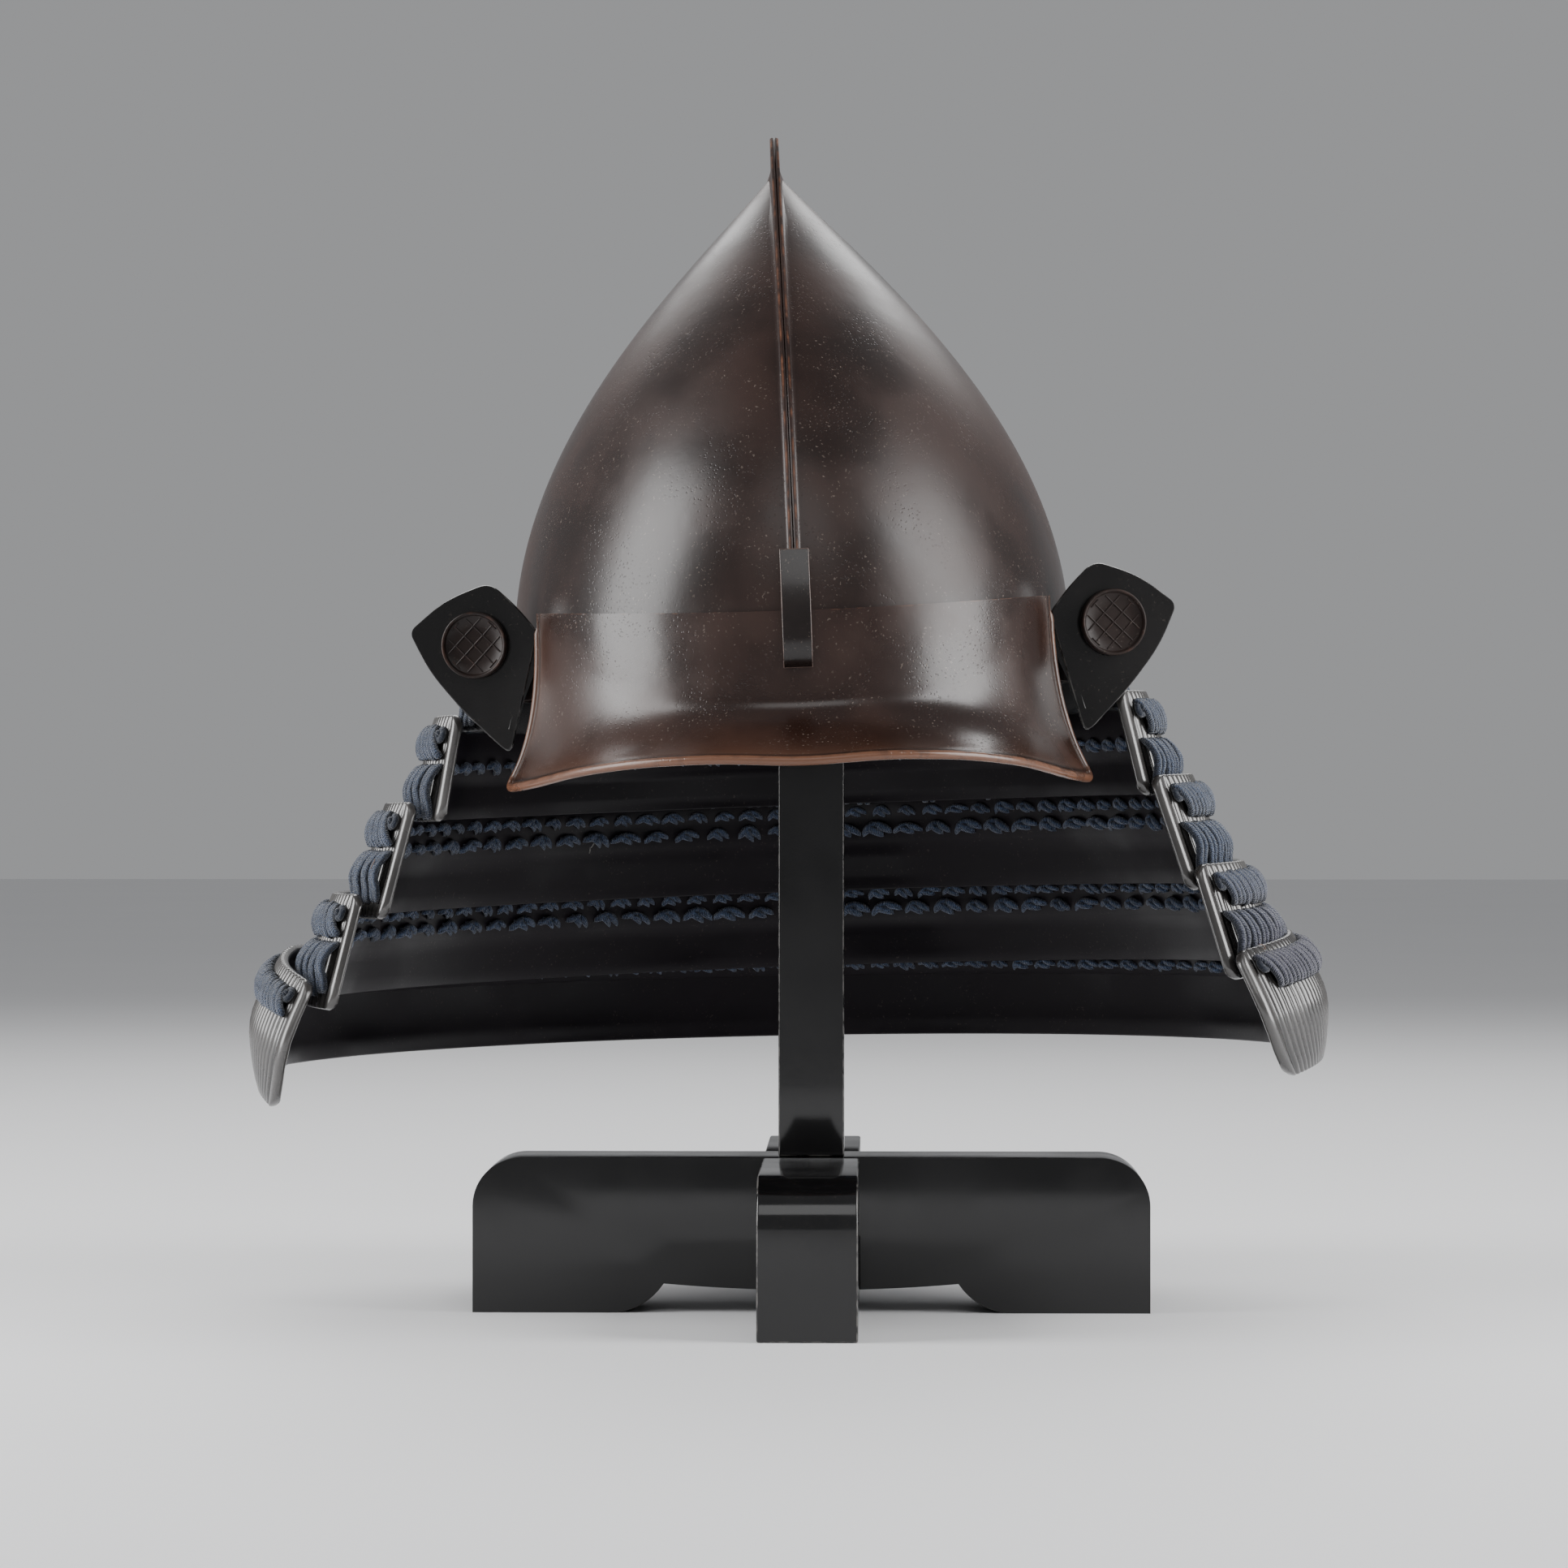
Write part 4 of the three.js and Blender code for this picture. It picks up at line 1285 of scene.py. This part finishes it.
def strand_shape(name: str, *grids: Array) -> Object:
    """A shape of one or more short cords, with a map that runs round and along each.

    Args:
        name: its name.
        grids: each cord's points[section][around].

    Returns:
        The shape's object.
    """
    form, places = Form(), []
    for grid in grids:
        steps, sides = grid.shape[:2]
        form.tube(grid)
        length = [0.0, *np.linalg.norm(np.diff(grid.mean(1), axis=0), axis=1).cumsum() / 4]
        for i in range(steps - 1):
            for j in range(sides):
                places += [((j + b) / sides, length[i + a]) for a, b in QUAD]
        places += 2 * [(j / sides, 0.0) for j in range(sides)]
    mesh = bpy.data.meshes.new(name)
    mesh.from_pydata((np.concatenate(form.points) / 1000).tolist(), [], form.faces)
    mesh.uv_layers.new(name="UVMap").data.foreach_set("uv", np.array(places, np.float32).ravel())
    mesh.shade_smooth()
    face_outward(mesh)
    return link(bpy.data.objects.new(name, mesh))


@dataclass
class Lacing:
    """The cords that hang each lame from the one above."""

    setback: float = 8.4
    roll_pitch: float = 3.9
    roll_half: float = 6.3
    roll_slant: float = 8.0
    pair_pitch: float = 9.0
    cord_width: float = 4.0
    cord_thick: float = 3.2
    stitch_pitch: float = 11.4
    stitch_rows: tuple[tuple[tuple[float, float], ...], ...] = (
        (), ((20.8, 1.1),), ((11.6, 0.98), (19.6, 1.2)), ((12.3, 0.98), (19.8, 1.2)), ((19.6, 0.95),),
    )

    def roll_strand(self) -> Object:
        """A slanted strand over the roll, from its top to its foot."""
        turn = np.linspace(0.04, 0.96, 11) * math.pi
        along, up = np.cos(turn) * self.roll_slant / 2, np.cos(turn) * self.roll_half
        path = np.stack([along, 0.2 + 3.9 * np.sin(turn) ** 0.85, up], 1)
        return strand_shape("roll strand", strand_sections(path, 3.9, 2.7))

    def hanging_pair(self, drop: float, swell: float) -> Object:
        """Two cords that hang side by side and swell before they go behind the next lame.

        Args:
            drop: how far they hang.
            swell: how far they swell out.

        Returns:
            The pair's object.
        """
        w = np.linspace(0, 1, 13)
        cords = []
        for side, more in ((-1, 0.25), (1, -0.15)):
            off = [0.2, 2.0, swell, swell + 0.7 + more, swell - 1.4, 0.9]
            out = ease(w, [0, 0.08, 0.25, 0.5, 0.75, 1], off)
            x = side * (self.cord_width / 2 - 0.25) + 0.35 * w
            cords.append(strand_sections(np.stack([x, out, -drop * w], 1), self.cord_width, self.cord_thick))
        return strand_shape("hanging pair", *cords)

    def inside_stitch(self, size: float) -> Object:
        """A knot of three short plies on a lame's inner face.

        Args:
            size: its size.

        Returns:
            The stitch's object.
        """
        w = np.linspace(0, 1, 7)
        plies = []
        ends = ((-4.8, -1.2, 0.6, 1.5, 1.0), (-1.9, -1.9, 3.4, 0.9, 1.6), (-0.4, 1.6, 5.0, -1.0, 1.2))
        for x0, z0, x1, z1, high in ends:
            arc = np.sin(math.pi * w)
            path = np.stack([x0 + (x1 - x0) * w, 0.2 + high * arc**0.7, z0 + (z1 - z0) * w + 0.5 * arc], 1)
            section = oval_section(3.1, 2.3, 7)[None] * (0.55 + 0.45 * arc**0.5)[:, None, None]
            plies.append(swept(path, np.array([0, 0, 1]), np.array([0, 1, 0]), section) * size)
        return strand_shape("inside stitch", *plies)

    def curl(self, lame: Lame, form: Form, right: bool) -> None:
        """Adds the curled end of a roll beside a lame's front border.

        Args:
            lame: the lame.
            form: the row's form.
            right: whether it is the right end.
        """
        along = self.setback + 2.4 if right else lame.long - self.setback - 2.4
        point, out, up = lame.frames(np.array([along]), np.array([9.2]))
        point, out, up = point[0], out[0], up[0]
        side = np.cross(out, up) * (1 if right else -1)
        turn = np.linspace(0.0, 3.0 * math.pi, 40)
        radius, lift = np.linspace(0.4, 3.3, 40), np.linspace(3.9, 1.6, 40)
        wheel = side * (0.85 * np.cos(turn))[:, None] + up * np.sin(turn)[:, None]
        path = point + out * lift[:, None] + wheel * radius[:, None]
        across, square = path_frames(path)
        taper = np.interp(np.arange(40), [0, 3, 35, 39], [0.5, 1, 1, 0.5])
        grid = swept(path, across, square, oval_section(2.7, 2.5, 8)[None] * taper[:, None, None])
        form.tube(grid, tone=0.85)

    def build(self) -> None:
        """Makes every lame's lacing."""
        for i, lame in enumerate((TOP_FACE, *LAMES)):
            seed = 21 + 7 * i
            if i < 4:
                down, drop = (13.5, 17.0) if i == 0 else (20.6, 21.5)
                line = guide_line(lame, down, 0.3, self.setback + 2.0)
                pair = self.hanging_pair(drop, 4.0)
                self.row(f"hanging_cords_{i}", pair, line, self.pair_pitch, seed, f"lacing_low_{i}")
            if i > 0:
                line = guide_line(lame, 11.6, 0.2, self.setback + 5.0)
                self.row(f"roll_{i}", self.roll_strand(), line, self.roll_pitch, seed - 1, f"lacing_up_{i}")
                self.curls(lame, i)
            self.stitches(lame, i)

    def row(self, name: str, shape: Object, line: Object, pitch: float, seed: int, *nodes: str,
            finish: Cord = INDIGO, wobble: float = 0.06, twist: float = 2.0) -> None:
        """Sets a row of one shape, clears the shape and its guide away, and dresses the row.

        Args:
            name: the piece's name.
            shape: the shape.
            line: the row's guide.
            pitch: distance between shapes.
            seed: the seed of their differences.
            nodes: CAD nodes that the row replaces.
            finish: the cord's finish.
            wobble: how much their sizes differ.
            twist: how far they may lean, in degrees.
        """
        values = {"Shape": shape, "Pitch": pitch / 1000, "Wobble": wobble, "Twist": math.radians(twist)}
        made = grown(line, row_tree(), Seed=seed, Finish=material_of(finish), **values)
        for helper in (line, shape):
            bpy.data.objects.remove(helper)
        dress(link(bpy.data.objects.new(name, made)), finish, Slot.LACING, *nodes)

    def curls(self, lame: Lame, i: int) -> None:
        """Makes the curled ends of a lame's roll."""
        form = Form()
        for right in (True, False):
            self.curl(lame, form, right)
        dress(form.piece(f"roll_ends_{i}", lame.world, sharp=180.0), INDIGO, Slot.LACING)

    def stitches(self, lame: Lame, i: int) -> None:
        """Makes the rows of stitches inside a lame."""
        for row, (down, size) in enumerate(self.stitch_rows[i]):
            line = guide_line(lame, down, -3.1, 14.0, row * self.stitch_pitch / 2, facing=-1)
            # The stitches take the lighter cord: painted light, as they sit in the shade inside the lame.
            self.row(
                f"inside_stitches_{i}_{row}", self.inside_stitch(size), line, self.stitch_pitch * size,
                90 + 5 * i + row, finish=LIT_INNER_INDIGO, wobble=0.2, twist=14.0,
            )


@dataclass(frozen=True)
class LooseFibre:
    """A loose end of thread caught on a lame."""

    name: str
    lame: int
    along: float
    down: float
    off: float
    size: float
    seed: int
    finish: Cord
    thick: float = 0.3

    def build(self) -> None:
        """Makes the fibre as a thin wandering strand."""
        lame = LAMES[self.lame - 1]
        along = self.along if self.along > 0 else lame.long + self.along
        point, out, up = (part[0] for part in lame.frames(np.array([along]), np.array([self.down])))
        side = np.cross(out, up)
        chance = np.random.default_rng(self.seed)
        knots = np.cumsum(chance.uniform(-0.6, 1.0, (7, 3)), axis=0) * self.size / 4
        w = np.linspace(0, 6, 25)
        across, down, off = (ease(w, list(range(7)), list(knots[:, i]))[:, None] for i in range(3))
        path = point + out * self.off + side * across - up * down + out * off * 0.3 * np.sign(self.off)
        across, square = path_frames(path)
        form = Form()
        form.tube(swept(path, across, square, oval_section(self.thick, self.thick, 6)), tone=1.0)
        dress(form.piece(self.name, lame.world, sharp=180.0), self.finish, Slot.LACING)


FIBRES = (
    LooseFibre("loose_thread_inside", 2, 418.0, 17.0, -5.4, 9.0, 146, PALE_THREAD, 0.45),
    LooseFibre("loose_tuft_inside", 4, 470.0, 9.0, -5.6, 5.0, 11, PALE_THREAD, 0.45),
    LooseFibre("loose_fibre_left", 2, -9.0, 24.0, 5.4, 6.0, 7, RUSTY_FIBRE),
    LooseFibre("loose_fibre_right", 4, 16.0, 2.0, 3.0, 6.0, 21, RUSTY_FIBRE),
)


# ---- Top lame, turnbacks and badges ----


@dataclass
class TopLame:
    """The uppermost lame, whose front ends turn out into two small plates."""

    centre: float = 10.0
    plate_y: float = -50.0
    plate_thick: float = 2.2
    hinge: float = 105.0
    sweep: float = 12.0
    outline: tuple[tuple[float, float, float], ...] = (
        (117.5, 45.9, 5), (135.5, 39.8, 14), (150.5, 28, 3.5), (143, 12, 14),
        (130, -4, 12), (111.6, -21.8, 5), (99, 26, 3), (107, 36, 8),
    )

    def ring(self) -> Form:
        """The ring behind the plates, with a rounded head and foot."""
        h = np.array([23.4, 24.0, 23.6, 14.0, 9.0, 0.0, -11.4, -12.0, -11.5, 0.0, 9.0, 14.0])
        side = np.array([111.2, 111.8, 112.4, 113.8, 117.5, 124.9, 134.0, 133.3, 131.5, 121.9, 114.5, 112.0])
        front = np.array([136.2, 136.8, 137.4, 138.0, 132.6, 122.0, 108.7, 107.5, 106.0, 119.0, 129.6, 136.2])
        back = np.array([116.2, 116.8, 117.4, 118.7, 122.5, 129.4, 138.5, 137.5, 136.0, 126.4, 119.5, 116.9])
        end = np.arcsin((self.centre - self.plate_y) / front)
        angle = np.linspace(0, 1, 160)[:, None] * (math.pi + 2 * end) - end
        y = np.where((angle > 0) & (angle < math.pi), back, front) * np.sin(angle) + self.centre
        form = Form()
        form.tube(np.stack([side * np.cos(angle), y, np.broadcast_to(h, y.shape)], -1), edge=0.15)
        return form

    def rounded(self, steps: int = 8) -> Array:
        """The plate's outline with its corners rounded."""
        points = []
        count = len(self.outline)
        for i, (x, h, r) in enumerate(self.outline):
            at = np.array([x, h])
            legs = [np.array(self.outline[(i + d) % count][:2]) - at for d in (-1, 1)]
            cut = min(r, *(0.45 * np.linalg.norm(leg) for leg in legs))
            start, end = (at + unit(leg) * cut for leg in legs)
            points.append(bent(np.linspace(0, 1, steps)[:, None], start, at, end))
        return np.concatenate(points)

    def plate(self, side: Side, form: Form) -> None:
        """Adds a turnback with softly rounded edges.

        Args:
            side: which one.
            form: the top lame's form.
        """
        line = self.rounded()
        middle = line.mean(0)
        inward = unit(middle - line)
        tangent = unit(np.roll(line, -1, 0) - np.roll(line, 1, 0))
        normal = np.stack([-tangent[:, 1], tangent[:, 0]], 1)
        normal *= np.sign((normal * inward).sum(1, keepdims=True))
        half = self.plate_thick / 2
        profile = [(0.85, -half), (0.6, -half), (0.3, -half * 0.93), (0.08, -half * 0.6), (0.0, 0.0)]
        profile += [(inset, -depth) for inset, depth in profile[-2::-1]]
        c, s = cos_sin(self.sweep)
        grid, worn = [], []
        for inset, depth in profile:
            ring = line + normal * inset
            x = ring[:, 0] - self.hinge
            across = self.hinge + x * c - depth * s
            grid.append(np.stack([across * side.value, self.plate_y + x * s + depth * c, ring[:, 1]], 1))
            worn.append(np.full(len(line), 0.62 if inset < 0.5 else 0.0))
        form.tube(np.array(grid), edge=np.array(worn))

    def build(self) -> None:
        """Makes the ring and both turnbacks."""
        form = self.ring()
        for side in Side:
            self.plate(side, form)
        dress(form.piece("top_lame_ring", STANCE.world, sharp=35.0), BLACK, Slot.BLACK, "top_lame")


@dataclass
class Badge:
    """A round badge on a turnback, with a plain diagonal lattice in a raised ring."""

    x: float = 123.7
    h: float = 21.6
    radius: float = 13.0
    thick: float = 2.4
    ring: float = 1.5
    ring_height: float = 1.2
    lattice_step: float = 5.2
    lattice_width: float = 0.8
    steps: int = 72

    def world(self, points: Array, side: Side, lame: TopLame) -> Array:
        """Points of the badge, whose Z stands out of the turnback, in the world, in metres."""
        c, s = cos_sin(lame.sweep * side.value)
        along = self.x - lame.hinge
        stand = lame.plate_thick / 2 + 0.3
        x = lame.hinge + along * c + stand * abs(s)
        y = lame.plate_y + along * abs(s) - stand * c
        px, py, out = points[..., 0], points[..., 1], points[..., 2]
        across, along = side.value * x + px * c + out * s, y + px * s - out * c
        return STANCE.world(np.stack([across, along, self.h + py], -1))

    def form(self) -> Form:
        """The disc with its ring and lattice, facing up its own Z."""
        r, t = self.radius, self.thick
        top = t + self.ring_height
        inner = r - self.ring
        profile = [(0.01, 0.0), (r - 0.3, 0.0), (r, 0.4), (r, top - 0.6), (r - 0.2, top - 0.15)]
        profile += [(r - 0.65, top), (r - 1.1, top - 0.2), (inner, top - 0.75), (inner - 0.4, t)]
        profile += [(r * 0.5, t - 0.1), (0.01, t - 0.15)]
        grid = lathed(np.array(profile), self.steps)
        worn = np.array([0, 0, 0.2, 0.3, 0.5, 0.55, 0.5, 0.3, 0.1, 0.1, 0.1])
        form = Form()
        form.sheet(grid, wrap=True, edge=np.broadcast_to(worn[:, None], grid.shape[:2]))
        field_radius = inner - 0.9
        bar = np.array([(-0.5, -0.1), (-0.3, 0.3), (0, 0.42), (0.3, 0.3), (0.5, -0.1)])
        up = np.array([0, 0, 1])
        for slope in (45.0, 135.0):
            c, s = cos_sin(slope)
            along, square = np.array([c, s, 0.0]), np.array([-s, c, 0.0])
            for k in range(-2, 3):
                off = k * self.lattice_step
                half = math.sqrt(max(field_radius**2 - off**2, 0.01))
                path = square * off + along * np.linspace(-half, half, 7)[:, None] + up * (t - 0.1)
                form.tube(swept(path, square, up, bar * self.lattice_width), edge=0.45)
        return form

    def build(self, lame: TopLame) -> None:
        """Makes both badges."""
        for side in Side:
            name = f"badge_{side.name.lower()}"
            disc = self.form().piece(f"{name}_disc", lambda p: self.world(p, side, lame), sharp=50.0)
            dress(disc, BADGE_BROWN, Slot.BADGE, name)


# ---- Stand ----


@dataclass
class Stand:
    """The post, its domed head and two crossed foot boards."""

    height: float = 61.0
    thick: float = 38.0
    corner: float = 19.0
    side_length: float = 267.0
    front_length: float = 252.0
    lap: float = 30.5
    gap: float = 0.3
    post_width: float = 26.0
    post_top: float = 372.0
    dome_top: float = 423.5
    dome_radius: float = 30.0
    dome_foot: float = 10.0
    soft: float = 0.9
    post_soft: float = 0.8

    def arch(self) -> Array:
        """The underside's cusped arch, from left to right."""
        knots = [(-80, 0), (-66, 0), (-58, 11.5), (-29, 9), (0, 9), (29, 9), (58, 11.5), (66, 0), (80, 0)]
        parts = []
        for i in range(0, 8, 2):
            a, b, c = (np.array(knots[i + d], float) for d in range(3))
            parts.append(bent(np.linspace(0, 1, 10)[:, None], a, b, c))
        return np.concatenate(parts)

    def outline(self, length: float, arched: bool) -> Array:
        """A board's outline from the front: x along it and its height."""
        half, r = length / 2, self.corner
        turn = np.linspace(0, math.pi / 2, 16)
        right = np.stack([half - r + r * np.cos(turn), self.height - r + r * np.sin(turn)], 1)
        left = right[::-1] * [-1, 1]
        low = self.arch() if arched else np.zeros((0, 2))
        return np.concatenate([[(-half, 0.0)], low, [(half, 0.0)], right, left])

    def board(self, name: str, length: float, arched: bool, node: str) -> None:
        """Makes a foot board, halved over the other one.

        Args:
            name: the piece's name.
            length: its length.
            arched: whether its underside is cut in an arch.
            node: the CAD node that it replaces.
        """
        line = self.outline(length, arched)
        notch = self.thick / 2 + self.gap
        if arched:
            keep = line[(line[:, 1] > self.lap) | (np.abs(line[:, 0]) > notch)]
            arch = self.arch()
            foot = float(np.interp(notch, arch[:, 0], arch[:, 1]))
            cut = [(-notch, foot), (-notch, self.lap), (notch, self.lap), (notch, foot)]
            line = insert_notch(keep, np.array(cut), lower=True)
        else:
            low = self.lap - self.gap
            cut = [(notch, self.height), (notch, low), (-notch, low), (-notch, self.height)]
            line = insert_notch(line, np.array(cut), lower=False)
        half = self.thick / 2
        front = np.stack([line[:, 0], np.full(len(line), -half), line[:, 1]], 1)
        back = front * [1, -1, 1]
        form = Form()
        form.tube(np.array([front, back]), edge=0.0)
        turn = 0.0 if arched else 90.0
        piece = form.piece(name, lambda p: on_stand(turned(p, turn)), sharp=30.0)
        soften(piece, self.soft, self.soft)
        dress(piece, STAND_BLACK, Slot.STAND, node)

    def post(self) -> None:
        """Makes the post with softened edges."""
        half = self.post_width / 2
        low = self.height + self.gap
        levels = np.linspace(low, self.post_top, 12)
        corners = np.array([(-half, -half), (half, -half), (half, half), (-half, half)])
        form = Form()
        form.tube(np.array([np.column_stack([corners, np.full(4, h)]) for h in levels]), edge=0.0)
        piece = form.piece("post_shaft", on_stand, sharp=30.0)
        soften(piece, self.post_soft, self.soft)
        dress(piece, STAND_BLACK, Slot.STAND, "post")

    def head(self) -> None:
        """Makes the domed head that carries the bowl."""
        low, r = self.post_top + self.gap, self.dome_radius
        knee = low + self.dome_foot
        dome = self.dome_top - knee
        turn = np.linspace(0, math.pi / 2, 16)[:-1]
        profile = [(0.01, low), (r - 1, low), (r - 0.3, low + 0.3), (r, low + 1.0)]
        profile += [*zip(r * np.cos(turn), knee + dome * np.sin(turn)), (0.01, self.dome_top)]
        form = Form()
        form.sheet(lathed(np.array(profile), 64), wrap=True, edge=0.1)
        dress(form.piece("post_head_dome", on_stand), STAND_BLACK, Slot.STAND, "post_head")

    def build(self) -> None:
        """Makes the whole stand."""
        self.board("side_board", self.side_length, True, "base_board_side")
        self.board("front_board", self.front_length, False, "base_board_front")
        self.post()
        self.head()


def insert_notch(line: Array, cut: Array, lower: bool) -> Array:
    """Puts a square notch into a closed outline.

    Args:
        line: the outline, starting at its lower left and running along its underside.
        cut: the notch's corners in the outline's order.
        lower: whether it is cut from below.

    Returns:
        The notched outline.
    """
    if lower:
        at = int(np.argmax(line[:, 0] > 0))
    else:
        high = np.flatnonzero(line[:, 1] >= line[:, 1].max() - 0.01)
        at = int(high[np.argmax(line[high, 0] < 0)])
    return np.concatenate([line[:at], cut, line[at:]])


# ---- What stays from the frame ----


def dress_band() -> None:
    """Gives the iron band under the bowl its lacquer."""
    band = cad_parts["waist_band"]
    band.data.materials.clear()
    band.data.materials.append(material_of(BROWN))


# ---- Studio ----


@dataclass(frozen=True)
class Softbox:
    """A large soft light."""

    name: str
    place: tuple[float, float, float]
    aim: tuple[float, float, float]
    size: tuple[float, float]
    power: float


@dataclass
class Studio:
    """A pale floor, soft lights and the camera."""

    focal: float = 6200.0
    frame_width: float = 1932.0
    sensor: float = 36.0
    turn: float = 1.1
    eye: tuple[float, float, float] = (-0.011, -2.0, 0.2083)
    floor_half: float = 9000.0
    lights: tuple[Softbox, ...] = (
        Softbox("left softbox", (-1.35, -0.35, 0.7), (0, 0, 0.28), (0.8, 1.3), 34.0),
        Softbox("right softbox", (1.35, -0.35, 0.7), (0, 0, 0.28), (0.8, 1.3), 32.0),
        Softbox("front softbox", (0.1, -1.9, 1.7), (0, 0, 0.25), (1.6, 1.0), 10.0),
        Softbox("back softbox", (0.0, 1.5, 1.6), (0, 0, 0.2), (2.2, 0.8), 26.0),
    )

    def camera(self) -> None:
        """Places the camera level, a little to the helmet's right."""
        data = bpy.data.cameras.new("Camera")
        data.sensor_width = self.sensor
        data.lens = self.focal / self.frame_width * self.sensor
        camera = link(bpy.data.objects.new("Camera", data))
        camera.location = turned(np.array(self.eye), self.turn)
        camera.rotation_euler = (math.pi / 2, 0, math.radians(self.turn))
        bpy.context.scene.camera = camera

    def floor(self) -> None:
        """Lays the pale floor."""
        form = Form()
        form.sheet(np.array([[(x, y, 0) for x in (-1, 1)] for y in (-1, 1)]) * self.floor_half)
        floor = form.piece("floor", on_stand)
        g, face = new_material("pale floor")
        g.feed(face.inputs["Base Color"], g.mixed(g.noise(3.0, 2.0), (0.78, 0.78, 0.79), (0.81, 0.81, 0.82)))
        face.inputs["Roughness"].default_value = 0.65
        floor.data.materials.append(bpy.data.materials["pale floor"])

    def world(self) -> None:
        """Sets a plain soft surrounding light."""
        world = bpy.data.worlds.new("Studio")
        world.use_nodes = True
        sky = world.node_tree.nodes["Background"]
        sky.inputs[0].default_value = (0.9, 0.91, 0.93, 1)
        sky.inputs[1].default_value = 0.36
        bpy.context.scene.world = world

    def lamps(self) -> None:
        """Hangs the softboxes."""
        for box in self.lights:
            data = bpy.data.lights.new(box.name, "AREA")
            data.shape = "RECTANGLE"
            data.size, data.size_y = box.size
            data.energy = box.power
            lamp = link(bpy.data.objects.new(box.name, data))
            lamp.location = box.place
            lamp.rotation_euler = (Vector(box.aim) - Vector(box.place)).to_track_quat("-Z", "Y").to_euler()

    def build(self) -> None:
        """Sets up the whole studio."""
        self.camera()
        self.floor()
        self.world()
        self.lamps()


def main() -> None:
    """Builds and dresses every piece in order."""
    logging.basicConfig(level=logging.INFO, format="%(name)s: %(message)s")
    bowl = Bowl()
    bowl.build()
    Peak(bowl).build()
    CrestHolder(bowl).build()
    dress_band()
    top = TopLame()
    top.build()
    Badge().build(top)
    for lame in LAMES:
        lame.build()
    Lacing().build()
    for fibre in FIBRES:
        fibre.build()
    Stand().build()
    Studio().build()
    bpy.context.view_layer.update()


if __name__ == "__main__":
    main()
